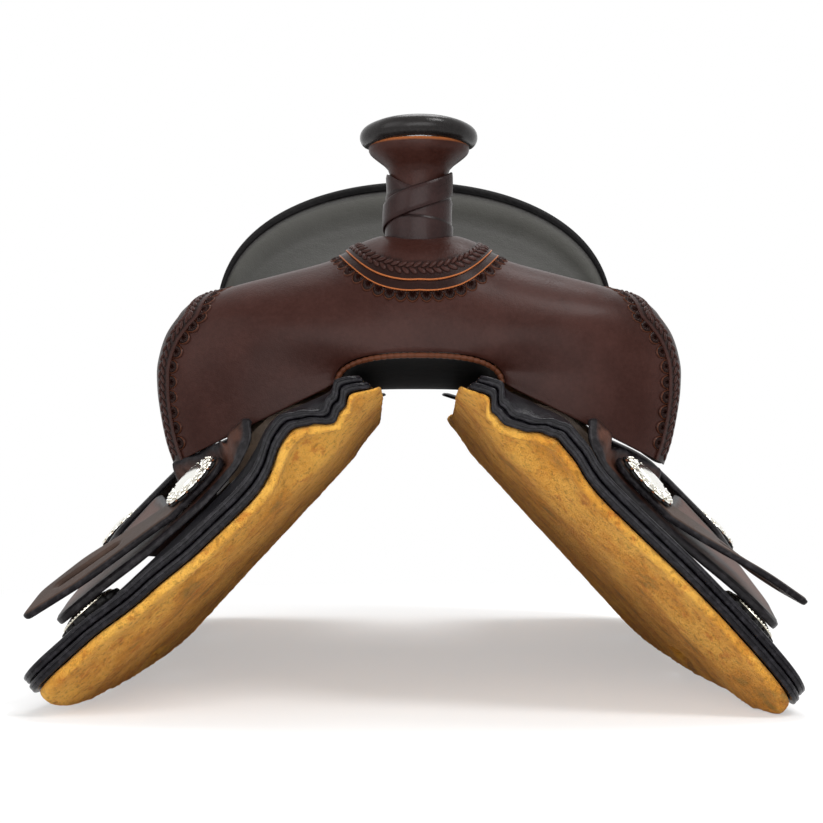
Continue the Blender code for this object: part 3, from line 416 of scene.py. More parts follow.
# %% The horse's back
CHANNEL_X = 0.057
BACK_Z = 0.170
BACK_RISE = (-0.0091, 0.0918)
SLOPE_DEG = (46.5, 5.6, -6.9)
SHOULDER = 0.012
SHOULDER_S = 0.025
SHOULDER_Y = (-0.322, -0.288)
ROLL = 0.008
ROLL_S = (-0.040, 0.006)
FLEX = {-1: 0.0035, 1: -0.0075}
FLEX_FROM_S = 0.130
FLEX_REACH = 0.120
FLEX_Y = (-0.320, -0.180)
CURL_Y = (-0.328, -0.308)
FRONT_CURL = {
    -1: [(-0.035, 0.0), (-0.020, 0.0050), (-0.010, -0.0040), (0.0, -0.0110), (0.010, -0.0065),
         (0.020, -0.0038), (0.030, -0.0050), (0.050, -0.0070), (0.110, -0.0065), (0.150, -0.0040),
         (0.200, 0.0)],
    1: [(-0.035, 0.0), (-0.020, 0.0030), (-0.010, -0.0080), (0.0, -0.0125), (0.010, -0.0120),
        (0.020, -0.0075), (0.030, -0.0040), (0.050, 0.0)],
}


def smooth(low, high, value):
    """Eases from 0 at low to 1 at high."""
    t = min(max((value - low) / (high - low), 0.0), 1.0)
    return t * t * (3 - 2 * t)


def mix(a, b, t):
    return a + (b - a) * t


def along(stations, value):
    """Reads a smooth value between (place, value) stations."""
    for (start, first), (end, last) in zip(stations, stations[1:]):
        if value <= end:
            return mix(first, last, smooth(start, end, value))
    return stations[-1][1]


def on_back(side, y, s, n):
    """A point s down the slope and n above the back, with the shoulder over the front bar tip."""
    base, tilt, sag = SLOPE_DEG
    angle = radians(base + tilt * y + sag * y * y)
    rise, bow = BACK_RISE
    origin = Vector((side * CHANNEL_X, y, BACK_Z + rise * y + bow * y * y))
    downhill = Vector((side * cos(angle), 0, -sin(angle)))
    normal = Vector((side * sin(angle), 0, cos(angle)))
    shoulder = SHOULDER * (1 - smooth(*SHOULDER_Y, y)) * exp(-(((s - SHOULDER_S) / SHOULDER_S) ** 2))
    roll = ROLL * (1 - smooth(*ROLL_S, s))
    flex = FLEX[side] * (max(s - FLEX_FROM_S, 0.0) / FLEX_REACH) ** 2 * (1 - smooth(*FLEX_Y, y))
    curl = along(FRONT_CURL[side], s) * (1 - smooth(*CURL_Y, y))
    return origin + downhill * s + normal * (n + shoulder + flex - roll + curl)


print("pommel end of the channel:", [round(c, 3) for c in on_back(1, -0.324, 0, 0)])

# %% [markdown]
# A saddler cuts a piece out, skives it, and rounds its edge with a slicker. The same is done here: an
# outline becomes a stack of rings that turn over the edge, and the two faces are filled over an even
# net of points, so that the piece can bend. How far each point lies from the cut edge tells the
# finishes where to burnish it.

# %% Outlines
ARC_STEPS = 10


def rounded(corners):
    """Closed outline from (a, b, radius) corners, each turned with an arc."""
    points = []
    for index, (a, b, radius) in enumerate(corners):
        here = Vector((a, b))
        before = (Vector(corners[index - 1][:2]) - here).normalized()
        after = (Vector(corners[(index + 1) % len(corners)][:2]) - here).normalized()
        if radius == 0:
            points.append(here)
            continue
        half = before.angle(after) / 2
        reach = radius / sin(half) * cos(half)
        centre = here + (before + after).normalized() * (radius / sin(half))
        start = here + before * reach - centre
        end = here + after * reach - centre
        turn = atan2(start.x * end.y - start.y * end.x, start.dot(end))
        for step in range(ARC_STEPS + 1):
            points.append(centre + Matrix.Rotation(turn * step / ARC_STEPS, 2) @ start)
    return points


def evened(loop, spacing):
    """The same closed outline with points at even steps, drawn as one fair curve."""
    count = len(loop)
    lengths = [(loop[(k + 1) % count] - loop[k]).length for k in range(count)]
    total = sum(lengths)
    wanted = max(int(total / spacing), 8)
    points = []
    reached = 0.0
    k = 0
    for step in range(wanted):
        place = total * step / wanted
        while reached + lengths[k] < place:
            reached += lengths[k]
            k += 1
        points.append(loop[k].lerp(loop[(k + 1) % count], (place - reached) / max(lengths[k], 1e-9)))
    for _ in range(2):
        points = [points[k] * 0.5 + (points[k - 1] + points[(k + 1) % wanted]) * 0.25 for k in range(wanted)]
    return points


def area(loop):
    """Area inside an outline, negative where it runs clockwise."""
    return sum(loop[k - 1].x * loop[k].y - loop[k].x * loop[k - 1].y for k in range(len(loop))) / 2


def inward(loop, distance):
    """Moves an outline into the leather; a hole runs the other way round, so it widens."""
    moved = []
    for k, here in enumerate(loop):
        a = (here - loop[k - 1]).normalized()
        b = (loop[(k + 1) % len(loop)] - here).normalized()
        tangent = (a + b).normalized()
        moved.append(here + Vector((-tangent.y, tangent.x)) * (distance / max(tangent.dot(a), 0.6)))
    return moved


def edge_profile(thickness, turn, bevel=0.0, drop=0.0):
    """(distance in, height) rings over a rounded edge, with a wider bevel on top if wanted."""
    low = min(turn, thickness * 0.35)
    rings = [(low * (1 - sin(t)), low * (1 - cos(t))) for t in (0.0, pi / 6, pi / 3, pi / 2)]
    shoulder = thickness - drop - turn
    rings += [(0.0, shoulder)]
    rings += [(turn * (1 - cos(t)), shoulder + turn * sin(t)) for t in (pi / 6, pi / 3, pi / 2)]
    if bevel:
        rings += [(turn + bevel * t, thickness - drop + drop * sin(t * pi / 2)) for t in (0.33, 0.66, 1.0)]
    return rings


print("rings round a 4 mm edge:", len(edge_profile(0.004, 0.001)), "or, with a bevel,",
      len(edge_profile(0.004, 0.001, 0.002, 0.001)))

# %% Filling a face
ROW_STEP = 0.87
CLEAR_OF_RIM = 0.55


def nearest_to(points):
    """A search tree that finds the closest of some flat points."""
    tree = KDTree(len(points))
    for index, point in enumerate(points):
        tree.insert((point.x, point.y, 0), index)
    tree.balance()
    return tree


def filled(loops, square):
    """Triangles over an even net of points that fill closed outlines, as points and indices."""
    points = [p for loop in loops for p in loop]
    rim = nearest_to(points)
    edges = []
    owner = []
    for index, loop in enumerate(loops):
        first = len(owner)
        edges += [(first + k, first + (k + 1) % len(loop)) for k in range(len(loop))]
        owner += [index] * len(loop)
    low = min(p.y for p in points)
    high = max(p.y for p in points)
    rows = max(int((high - low) / (square * ROW_STEP)), 2)
    net = []
    for row in range(1, rows):
        b = mix(low, high, row / rows)
        crossings = sorted(points[i].x + (points[j].x - points[i].x) * (b - points[i].y)
                           / (points[j].y - points[i].y)
                           for i, j in edges if (points[i].y > b) != (points[j].y > b))
        for begin, end in zip(crossings[::2], crossings[1::2]):
            a = (floor(begin / square) + 1) * square + (row % 2) * square / 2
            while a < end:
                if rim.find((a, b, 0))[2] > square * CLEAR_OF_RIM:
                    net.append(Vector((a, b)))
                a += square
    _, _, faces, origins, _, _ = delaunay_2d_cdt(points + net, edges, [], 1, 1e-7)
    index_of = [origin[0] for origin in origins]
    kept = []
    for face in faces:
        owners = {owner[index_of[v]] if index_of[v] < len(owner) else -1 for v in face}
        if len(owners) > 1 or owners <= {-1, 0}:
            kept.append([index_of[v] for v in face])
    return points + net, kept


square_loop = evened(rounded([(0, 0, 0.002), (0.02, 0, 0.002), (0.02, 0.02, 0.002), (0, 0.02, 0.002)]), 0.002)
print("a 20 mm square is filled with", len(filled([square_loop], 0.005)[1]), "faces")

# %% Cutting and bending a piece
BURNISH_FADE = 0.0008


def cut(name, outline, profile, bend, square=0.005, holes=(), marks=(), spacing=0.0018):
    """Cuts a closed piece of leather over a net of squares and bends it with bend(a, b, n)."""
    loops = []
    for index, loop in enumerate([outline, *holes]):
        loop = evened(loop, spacing)
        if (area(loop) > 0) == (index > 0):
            loop.reverse()
        loops.append(loop)
    bm = bmesh.new()
    rows = [[[bm.verts.new((p.x, p.y, height)) for p in inward(loop, distance)]
             for distance, height in profile] for loop in loops]
    for loop in rows:
        for low, high in zip(loop, loop[1:]):
            for k in range(len(low)):
                after = (k + 1) % len(low)
                bm.faces.new((low[k], low[after], high[after], high[k]))
    for end in (0, -1):
        ring = [v for loop in rows for v in loop[end]]
        points, faces = filled([[Vector(v.co[:2]) for v in loop[end]] for loop in rows], square)
        height = profile[end][1]
        verts = ring + [bm.verts.new((p.x, p.y, height)) for p in points[len(ring):]]
        for face in faces:
            bm.faces.new([verts[index] for index in face])
    bmesh.ops.recalc_face_normals(bm, faces=bm.faces[:])
    rim = nearest_to([p for loop in loops for p in loop])
    layers = {mark: bm.verts.layers.float.new(mark) for mark, _ in marks}
    for vert in bm.verts:
        a, b, n = vert.co
        away = rim.find((a, b, 0))[2]
        for mark, value in marks:
            vert[layers[mark]] = value(a, b, n, away)
    for vert in bm.verts:
        vert.co = bend(*vert.co)
    return placed(closed_mesh(bm, name))


def closed_mesh(bm, name):
    """Turns a closed shell's faces outwards and makes it a mesh."""
    if bm.calc_volume(signed=True) < 0:
        bmesh.ops.reverse_faces(bm, faces=bm.faces[:])
    mesh = bpy.data.meshes.new(name)
    bm.to_mesh(mesh)
    bm.free()
    return mesh


def placed(mesh):
    """Puts a mesh into the scene as an object of its own name."""
    piece = bpy.data.objects.new(mesh.name, mesh)
    bpy.context.scene.collection.objects.link(piece)
    return piece


def burnished(wide):
    """Marks the cut edge and a rim of a given width as burnished."""
    return "edge", lambda a, b, n, away: 1 - smooth(wide - BURNISH_FADE, wide + BURNISH_FADE, away)


body_of = {node: body for body, nodes in frame["record"]["behaviour"]["bodies"].items() for node in nodes}
print("bodies:", sorted(set(body_of.values())))

# %% Setting a piece in its place


def settle(piece, slot, *nodes, body=None, finish=None, smooth_angle=50):
    """Gives a finished piece its finish and its body, and hides the solids that it stands for."""
    piece.data.transform(piece.matrix_basis)
    piece.matrix_basis = Matrix()
    piece.data.materials.clear()
    piece.data.materials.append(finish or FINISHES[slot])
    bpy.ops.object.select_all(action="DESELECT")
    piece.select_set(True)
    bpy.context.view_layer.objects.active = piece
    bpy.ops.object.shade_smooth_by_angle(angle=radians(smooth_angle))
    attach(piece, body or body_of[nodes[0]])
    if nodes:
        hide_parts(*nodes)


print("materials to settle with:", len(FINISHES))

# %% [markdown]
# The fleece is sheepskin, glued and stitched under the skirts with its wool towards the horse. From the
# front its cut edge and its underside show. It is cut a little denser than the leather, and three
# noises push its wool out: a broad one for lumps, a finer one for locks and the finest for tufts.

# %% Fleece
SKIRT_OUTLINE = [
    (-0.324, -0.033, 0.006), (-0.334, 0.060, 0), (-0.336, 0.150, 0), (-0.329, 0.2495, 0.026),
    (-0.200, 0.2325, 0), (0.000, 0.2198, 0), (0.200, 0.2198, 0), (0.342, 0.2245, 0.070),
    (0.326, -0.018, 0.030),
]
FLEECE_OUTLINE = [(-0.324, -0.038, 0.010), *SKIRT_OUTLINE[1:-1], (0.326, -0.026, 0.030)]
FLEECE = 0.0175
FLEECE_DROP = 0.0006
LATIGO_SLOTS = [(-0.120, 0.203), (0.150, 0.200)]
LATIGO_SLOT = (0.056, 0.013)


def trimmed(corners, by):
    """The same corners drawn in by a small amount towards their middle."""
    middle = sum((Vector(corner[:2]) for corner in corners), Vector((0, 0))) / len(corners)
    return [(a - by * (1 if a > middle.x else -1), b - by * (1 if b > middle.y else -1), radius)
            for a, b, radius in corners]


def slot_outline(a, b, length, width):
    """Round-ended slot centred at (a, b), long along a."""
    half = length / 2 - width / 2
    steps = 6
    points = []
    for centre, start in ((half, -pi / 2), (-half, pi / 2)):
        for step in range(steps + 1):
            angle = start + pi * step / steps
            points.append(Vector((a + centre + width / 2 * cos(angle), b + width / 2 * sin(angle))))
    return points


def wool(point):
    """Height of the wool at a point: lumps, locks and tufts."""
    lumps = noise.noise(point * 60) * 0.0010
    locks = noise.noise(point * 230 + Vector((9, 0, 0))) * 0.0009
    return lumps + locks + noise.noise(point * 600) * 0.0004


def fleece_bend(side):
    """Lays the fleece under the skirt, thinner towards its front and top edges."""
    def bend(y, s, n):
        share = mix(0.35, 1, smooth(-0.336, -0.275, y)) * mix(0.30, 1, smooth(-0.040, 0.015, s))
        depth = -n / FLEECE
        flat = on_back(side, y, s, n * share - FLEECE_DROP)
        ragged = wool(flat) * min(depth * 3, 1.0)
        point = on_back(side, y, s, n * share - FLEECE_DROP - ragged * 0.9)
        point += Vector((side * ragged * 0.3, -ragged * 0.7 * (1 - smooth(-0.325, -0.300, y)), 0))
        point.z = max(point.z, 0.0)
        return point
    return bend


def fleece_edge(a, b, n, away):
    """Cut skin shows as a thin orange line at the top of the fleece's edge."""
    return (1 - smooth(0.0006, 0.0016, away)) * smooth(-0.0035, -0.0008, n)


fleece_profile = [(0.004, -FLEECE), (0.0018, -FLEECE + 0.0010), (0.0006, -FLEECE + 0.0030), (0.0, -0.0110),
                  (0.0, -0.0070), (0.0004, -0.0035), (0.0012, -0.0012), (0.0030, 0.0)]
latigo_openings = [slot_outline(y, s, *LATIGO_SLOT) for y, s in LATIGO_SLOTS]
for label, side in SIDES.items():
    piece = cut(f"fleece_wool_{label}", rounded(trimmed(FLEECE_OUTLINE, 0.0015)), fleece_profile,
                fleece_bend(side), 0.0036, latigo_openings, [("raw", fleece_edge)])
    settle(piece, "fleece", f"fleece_{label}", smooth_angle=80)
    print(piece.name, len(piece.data.polygons), "faces")

# %% [markdown]
# Each skirt is two thick layers of black leather, glued, stitched and slicked at the edge. The two
# layers are cut apart so that the line between them shows, and each is bevelled at its lip.

# %% Skirts
SKIRT_LAYER = 0.0057
UPPER_LAYER_AT = 0.0063
SKIRT_WAVE = 0.0004
layer_profile = [(0.0012, 0.0), (0.0004, 0.0003), (0.0, 0.0009), (0.0, 0.0022), (0.0005, 0.0025),
                 (0.0005, 0.0029), (0.0, 0.0032), (0.0, 0.0044), (0.0003, 0.0050), (0.0010, 0.0054),
                 (0.0020, SKIRT_LAYER)]


def skirt_bend(side, base):
    """Lays a skirt layer on the fleece, its top side a little wavy."""
    def bend(y, s, n):
        wave = SKIRT_WAVE * noise.noise(Vector((y * 22, s * 22, side)))
        return on_back(side, y, s, base + n + wave * (n / SKIRT_LAYER))
    return bend


for label, side in SIDES.items():
    for layer, outline, base in (("lower", SKIRT_OUTLINE, 0.0),
                                 ("upper", trimmed(SKIRT_OUTLINE, 0.0010), UPPER_LAYER_AT)):
        piece = cut(f"skirt_{layer}_leather_{label}", rounded(outline), layer_profile,
                    skirt_bend(side, base), 0.007, latigo_openings, [burnished(0.0040)])
        settle(piece, "skirt_leather", f"skirt_{layer}_{label}")
print("skirts cut")

# %% [markdown]
# The jockeys are single layers of brown leather that lie over the bars. Their edges are bevelled wide
# and inked black, with a dark crease line just inside. The front jockey carries the latigo keeper, a
# slotted strap held by the front concho, which hangs clear of it. Each jockey's underside is given as
# a height over the back.

# %% Heights of the jockeys
FRONT_JOCKEY_Y = -0.318
FRONT_JOCKEY_DEPTH = 0.130
UNDER_FRONT_EDGE = [(0.03, 0.0125), (0.062, 0.0118), (0.10, 0.0114), (0.205, 0.0195)]
UNDER_REAR_EDGE = [(0.05, 0.0520), (0.087, 0.0500), (0.16, 0.0480), (0.205, 0.0440)]
EAR = 0.0125
OVER_BAR = 0.0372
OVER_STIRRUP_LEATHER = 0.0150
DOWN_TO_SKIRT = 0.0215
KEEPER_AT = (-0.290, 0.087)
JOCKEY_LIP = {
    "off": [(0.0543, 0.0), (0.058, 0.0092), (0.062, 0.0126), (0.071, 0.0135), (0.082, 0.0167),
            (0.0904, 0.0200)],
    "near": [(0.0560, 0.0), (0.062, 0.0086), (0.0645, 0.0095), (0.080, 0.0123), (0.0925, 0.0152)],
}


def front_jockey_height(y, s):
    """Underside of the front jockey: low at its front edge, with an ear up against the swell."""
    front = along(UNDER_FRONT_EDGE, max(s, UNDER_FRONT_EDGE[0][0]))
    rear = along(UNDER_REAR_EDGE, max(s, UNDER_REAR_EDGE[0][0]))
    ear = EAR * smooth(-0.3125, -0.2925, y) * smooth(0.022, 0.038, s) * (1 - smooth(0.050, 0.062, s))
    return mix(front, rear, min(max((y - FRONT_JOCKEY_Y) / FRONT_JOCKEY_DEPTH, 0.0), 1.0)) + ear


def lipped_height(label):
    """Front jockey with the lip that turns up under the fork, round the latigo keeper."""
    def height(y, s):
        away = hypot(y - KEEPER_AT[0], s - KEEPER_AT[1])
        lip = along(JOCKEY_LIP[label], max(s, 0.0543)) * (1 - smooth(0.088, 0.101, s))
        return front_jockey_height(y, s) + lip * smooth(0.0222, 0.0305, away) * smooth(-0.300, -0.287, y)
    return height


def jockey_height(y, s):
    """Underside of the seat and rear jockeys: over the bar, and clear of the stirrup leathers."""
    height = OVER_BAR
    height += OVER_STIRRUP_LEATHER * smooth(0.03, 0.09, s) * (1 - smooth(-0.09, 0.05, y))
    height -= DOWN_TO_SKIRT * smooth(0.088, 0.135, s) * smooth(-0.03, 0.08, y)
    height -= 0.55 * max(0.012 - s, 0.0)
    return height


print("front jockey's corner lies", round(front_jockey_height(-0.30, 0.09) * 1000, 1), "mm over the back")

# %% Jockeys
FRONT_JOCKEY = [
    (-0.2900, 0.0300, 0.006), (-0.3085, 0.0420, 0.012), (-0.3125, 0.0900, 0), (-0.3060, 0.2090, 0.016),
    (-0.2400, 0.2020, 0.030), (-0.1940, 0.1500, 0.020), (-0.1920, 0.1120, 0.008), (-0.2450, 0.1100, 0.006),
    (-0.2570, 0.0980, 0.008), (-0.2585, 0.0800, 0.010), (-0.2680, 0.0640, 0.010), (-0.2870, 0.0540, 0.006),
]
SEAT_JOCKEY = [
    (-0.176, 0.036, 0.006), (-0.187, 0.104, 0), (-0.186, 0.150, 0.020), (-0.150, 0.178, 0.030),
    (-0.050, 0.176, 0), (0.040, 0.156, 0.040), (0.098, 0.120, 0.020), (0.098, 0.040, 0.004),
]
REAR_JOCKEY = [
    (0.102, 0.040, 0.004), (0.102, 0.116, 0.010), (0.190, 0.104, 0.060), (0.292, 0.066, 0.050),
    (0.296, -0.020, 0.040), (0.232, -0.046, 0.010), (0.206, -0.046, 0.004), (0.180, 0.010, 0.020),
]
JOCKEY_LEATHER = 0.0042
TIP_SPARE = 0.0015
SCREW_HOLE = 0.0032
CONCHO_HOLE = 0.0027
SEAT_CONCHO_AT = (-0.140, 0.152)
jockey_profile = edge_profile(JOCKEY_LEATHER, 0.0012, 0.0022, 0.0009)


def circle(a, b, radius, count=20):
    return [Vector((a + radius * cos(2 * pi * k / count), b + radius * sin(2 * pi * k / count)))
            for k in range(count)]


def crease(a, b, n, away):
    """A dark line pressed just inside the bevel, with a second finer one."""
    first = 1 - smooth(0.0003, 0.0008, abs(away - 0.0052))
    return max(first, 0.6 * (1 - smooth(0.0002, 0.0006, abs(away - 0.0072))))


def jockey_bend(side, height, spare=0.0):
    """Lays a jockey on its height; the lower tip is left thicker on its flesh side by the spare."""
    def bend(y, s, n):
        flesh = spare * smooth(0.110, 0.150, s) * (1 - smooth(0.0008, 0.0022, n))
        return on_back(side, y, s, height(y, s) + n - flesh)
    return bend


jockey_marks = [burnished(0.0040), ("dye", crease)]
for label, side in SIDES.items():
    piece = cut(f"front_jockey_leather_{label}", rounded(FRONT_JOCKEY), jockey_profile,
                jockey_bend(side, lipped_height(label), TIP_SPARE), 0.0028, [circle(*KEEPER_AT, SCREW_HOLE)],
                jockey_marks, 0.0012)
    settle(piece, "jockey_leather", f"front_jockey_{label}")
    for part, outline, holes in (("seat", SEAT_JOCKEY, [circle(*SEAT_CONCHO_AT, CONCHO_HOLE)]),
                                 ("rear", REAR_JOCKEY, [])):
        piece = cut(f"{part}_jockey_leather_{label}", rounded(outline), jockey_profile,
                    jockey_bend(side, jockey_height), 0.005, holes, jockey_marks)
        settle(piece, "jockey_leather", f"{part}_jockey_{label}")
print("jockeys cut")

# %% [markdown]
# The keepers and everything pinned over them sit on flat frames: a middle point and the directions
# downhill, rearward and outward of the leather below. The frame is measured from close neighbours.

# %% Flat frames
KEEPER_LIFT = 0.0018


def seat_frame(side, y, s, height, lift):
    """Flat frame on a leather surface: its middle, and axes downhill, rearward and outward."""
    def at(dy, ds):
        return on_back(side, y + dy, s + ds, height(y + dy, s + ds))
    reach = 0.008
    downhill = (at(0, reach) - at(0, -reach)).normalized()
    rearward = (at(reach, 0) - at(-reach, 0)).normalized()
    outward = downhill.cross(rearward).normalized()
    if outward.z < 0:
        outward = -outward
    rearward = outward.cross(downhill).normalized() * (1 if outward.cross(downhill).y > 0 else -1)
    return at(0, 0) + outward * lift, downhill, rearward, outward


def raise_frame(frame_axes, by):
    middle, downhill, rearward, outward = frame_axes
    return middle + outward * by, downhill, rearward, outward


def keeper_height(y, s):
    return front_jockey_height(y, s) + JOCKEY_LEATHER


keeper_frames = {label: seat_frame(side, *KEEPER_AT, keeper_height, KEEPER_LIFT)
                 for label, side in SIDES.items()}
for label, axes in keeper_frames.items():
    print(label, "keeper's screw:", [round(c, 3) for c in axes[0]])

# %% Latigo keepers
KEEPER_LEATHER = 0.0046
KEEPER_HALF_WIDTH = 0.0215
KEEPER_BEHIND = 0.023
KEEPER_TIP = {"off": 0.134, "near": 0.124}
KEEPER_FREE_FROM = 0.024
KEEPER_UNTWIST = {"off": radians(3), "near": radians(-15)}
KEEPER_RISE = {"off": 0.19, "near": 0.20}
KEEPER_SLOT = (0.082, 0.001, 0.046, 0.0075)
KEEPER_SCREW_HOLE = 0.0026


def keeper_bend(label, axes):
    """Lays a keeper flat under its concho, from where it rises and twists as it hangs free."""
    middle, run, rearward, outward = axes

    def bend(a, b, n):
        untwist = KEEPER_UNTWIST[label] * smooth(KEEPER_FREE_FROM, 0.10, a)
        across = rearward * cos(untwist) + outward * sin(untwist)
        up = outward * cos(untwist) - rearward * sin(untwist)
        lift = KEEPER_RISE[label] * max(a - KEEPER_FREE_FROM, 0.0)
        return middle + run * a + outward * lift + across * b + up * n
    return bend


def keeper_outline(tip):
    """Leaf shape, from the round end under the concho to the pointed tip."""
    half = KEEPER_HALF_WIDTH
    return [(-KEEPER_BEHIND, -half * 0.8, 0.016), (0.032, -half * 0.80, 0), (0.088, -half, 0.060),
            (tip, -half * 0.62, 0.0055), (tip - 0.017, half * 0.66, 0.016), (0.082, half * 1.10, 0.040),
            (0.038, half * 0.80, 0), (-KEEPER_BEHIND, half * 0.8, 0.016)]


def keeper_edge(a, b, n, away):
    """Black on the rim, but not round the slot, which is left as it was punched."""
    near_slot = abs(a - KEEPER_SLOT[0]) < 0.028 and abs(b) < 0.010
    return 0.0 if near_slot else 1 - smooth(0.0012, 0.0022, away)


keeper_profile = edge_profile(KEEPER_LEATHER, 0.0014, 0.0020, 0.0007)
keeper_holes = [circle(0, 0, KEEPER_SCREW_HOLE), slot_outline(*KEEPER_SLOT)]
for label, axes in keeper_frames.items():
    piece = cut(f"latigo_keeper_leather_{label}", rounded(keeper_outline(KEEPER_TIP[label])), keeper_profile,
                keeper_bend(label, axes), 0.0035, keeper_holes, [("edge", keeper_edge)], 0.0012)
    settle(piece, "keeper_leather", f"latigo_keeper_{label}")
print("keepers cut")

# %% [markdown]
# The fork cover is one wet-stretched sheet over the rounded swell. Its surface runs from the front lip
# of the gullet over the crest to the rear lip. Tooling on it is laid out in millimetres across and
# forward of the crest, so the lengths of the surface's own lines are measured first.

# %% Surface of the fork
FORK_Y = -0.236
HORN_Y = -0.240
SWELL_OUTLINE = [
    (0.0, 0.2985), (0.0264, 0.2958), (0.0555, 0.2838), (0.0900, 0.2742), (0.1225, 0.2655),
    (0.1450, 0.2560), (0.1605, 0.2385), (0.1672, 0.2185), (0.1678, 0.2030), (0.1660, 0.1870),
    (0.1620, 0.1670), (0.1570, 0.1520),
]


def curve_through(points, t):
    """Smooth curve through points, with t from 0 to 1."""
    span = t * (len(points) - 1)
    index = min(max(int(span), 0), len(points) - 2)
    local = span - index
    p1, p2 = Vector(points[index]), Vector(points[index + 1])
    p0 = Vector(points[index - 1]) if index > 0 else 2 * p1 - p2
    p3 = Vector(points[index + 2]) if index + 2 < len(points) else 2 * p2 - p1
    return 0.5 * (2 * p1 + (p2 - p0) * local + (2 * p0 - 5 * p1 + 4 * p2 - p3) * local ** 2
                  + (3 * p1 - p0 - 3 * p2 + p3) * local ** 3)


def arch(u, half, end_z, top_z):
    """Gullet arch, with u from -1 to 1 across it."""
    share = max(1 - abs(sin(u * pi / 2)) ** 2.5, 0.0) ** 0.4
    return Vector((half * sin(u * pi / 2), mix(end_z, top_z, share)))


def fork_surface(u, v):
    """Outer surface of the fork: u across from leg to leg, v from front lip over to rear lip."""
    outer = curve_through(SWELL_OUTLINE, min(abs(u), 1.0) ** 1.05)
    outer.x *= 1 if u >= 0 else -1
    foot = (1 if u > 0 else -1) * min(abs(u), 1.0) ** 0.8
    lip = (0.0535, 0.2020, 0.2225) if v < 0.5 else (0.0735, 0.2185, 0.2285)
    inner = arch(foot, *lip)
    turn = min(max(v, 0.0), 1.0) * pi
    lean = cos(turn)
    depth = mix(0.057, 0.050, smooth(0.2, 0.8, abs(u)))
    y = FORK_Y - depth * (abs(lean) ** 0.85) * (1 if lean > 0 else -1)
    point = inner + (outer - inner) * max(sin(turn), 0.0) ** 0.8
    return Vector((point.x, y, point.y))


def offset(surface, u, v, n):
    """Moves a surface point out along its normal, measured from close neighbours."""
    nudge = 0.002
    across = surface(u + nudge, v) - surface(u - nudge, v)
    upward = surface(u, v + nudge) - surface(u, v - nudge)
    return surface(u, v) + across.cross(upward).normalized() * n


def fork_at(u, v, n):
    """A point of the cover; next to its edges the normal is taken from just inside."""
    safe_u = min(max(u, -0.995), 0.995)
    safe_v = min(max(v, 0.012), 0.988)
    return fork_surface(u, v) + offset(fork_surface, safe_u, safe_v, n) - fork_surface(safe_u, safe_v)


print("top of the swell:", [round(c, 3) for c in fork_surface(0.0, 0.5)])

# %% Lengths over the fork


def lengths(points):
    """Length along a row of points, measured from its middle one."""
    total = [0.0]
    for a, b in zip(points, points[1:]):
        total.append(total[-1] + (b - a).length)
    return [value - total[len(total) // 2] for value in total]


def read(xs, ys, x):
    """Reads y at x between rising stations."""
    k = min(max(bisect_right(xs, x) - 1, 0), len(xs) - 2)
    return mix(ys[k], ys[k + 1], (x - xs[k]) / (xs[k + 1] - xs[k]))


COVER_SCALE = (0.30, 0.16)
STATIONS = 80
ARC_US = [2 * k / STATIONS - 1 for k in range(STATIONS + 1)]
ARC_VS = [k / STATIONS for k in range(STATIONS + 1)]
CREST = lengths([fork_surface(u, 0.5) for u in ARC_US])
RIBS = [lengths([fork_surface(u, v) for v in ARC_VS]) for u in ARC_US]


def fork_spot(across, forward, n):
    """A point of the cover by its distances across and forward of the crest's middle."""
    u = min(max(read(CREST, ARC_US, across), -1), 1)
    k = min(int((u + 1) / 2 * STATIONS), STATIONS - 1)
    share = (u - ARC_US[k]) / (ARC_US[k + 1] - ARC_US[k])
    v = mix(read(RIBS[k], ARC_VS, -forward), read(RIBS[k + 1], ARC_VS, -forward), share)
    return fork_at(u, min(max(v, 0.0), 1.0), n)


def flat_of(across, forward):
    """The same place in the flat pattern that the cover is cut by."""
    u = read(CREST, ARC_US, across)
    k = min(int((u + 1) / 2 * STATIONS), STATIONS - 1)
    return Vector((u * COVER_SCALE[0], read(RIBS[k], ARC_VS, -forward) * COVER_SCALE[1]))


print("crest of the swell:", round(CREST[-1] * 2, 3), "m long")

# %% Fork cover
COVER_LEATHER = 0.0040
COVER_HOLE = 0.0236
COVER_HOLE_AT = (0.0, 0.082)
HORN_FORWARD = FORK_Y - HORN_Y


def oval(angle):
    """Reach of the bands round the horn, which are narrower across than fore and aft."""
    return (abs(cos(angle) / 0.80) ** 2.7 + abs(sin(angle) / 0.99) ** 2.7) ** (-1 / 2.7)


def ring(radius, count=48, reach=lambda angle: 1.0):
    """Points round the horn."""
    turns = [2 * pi * k / count for k in range(count)]
    return [(radius * reach(t) * cos(t), radius * reach(t) * sin(t)) for t in turns]


def cover_bend(a, b, n):
    """Stretches the cover over the fork, a little uneven away from the horn."""
    u, v = a / COVER_SCALE[0], b / COVER_SCALE[1]
    away = hypot(a, b - COVER_SCALE[1] / 2)
    lift = 0.0007 * noise.noise(Vector((a * 14, b * 14, 3))) * smooth(0.05, 0.10, away)
    return fork_at(u, v, n + lift * (1 - smooth(0.92, 1.0, abs(u))))


half, deep = COVER_SCALE
cover_outline = [Vector(corner) for corner in ((-half, 0), (half, 0), (half, deep), (-half, deep))]
neck_hole = [flat_of(a, b + HORN_FORWARD) for a, b in ring(COVER_HOLE)]
cover_profile = [(d, h - COVER_LEATHER) for d, h in edge_profile(COVER_LEATHER, 0.0010)]


def cut_hole_edge(a, b, n, away):
    """Cut leather shows orange where the cover opens for the horn, and along its rear lip."""
    near_horn = 1 - smooth(0.030, 0.034, hypot(a - COVER_HOLE_AT[0], b - COVER_HOLE_AT[1]))
    return (1 - smooth(0.0010, 0.0016, away)) * max(near_horn, smooth(0.150, 0.155, b))


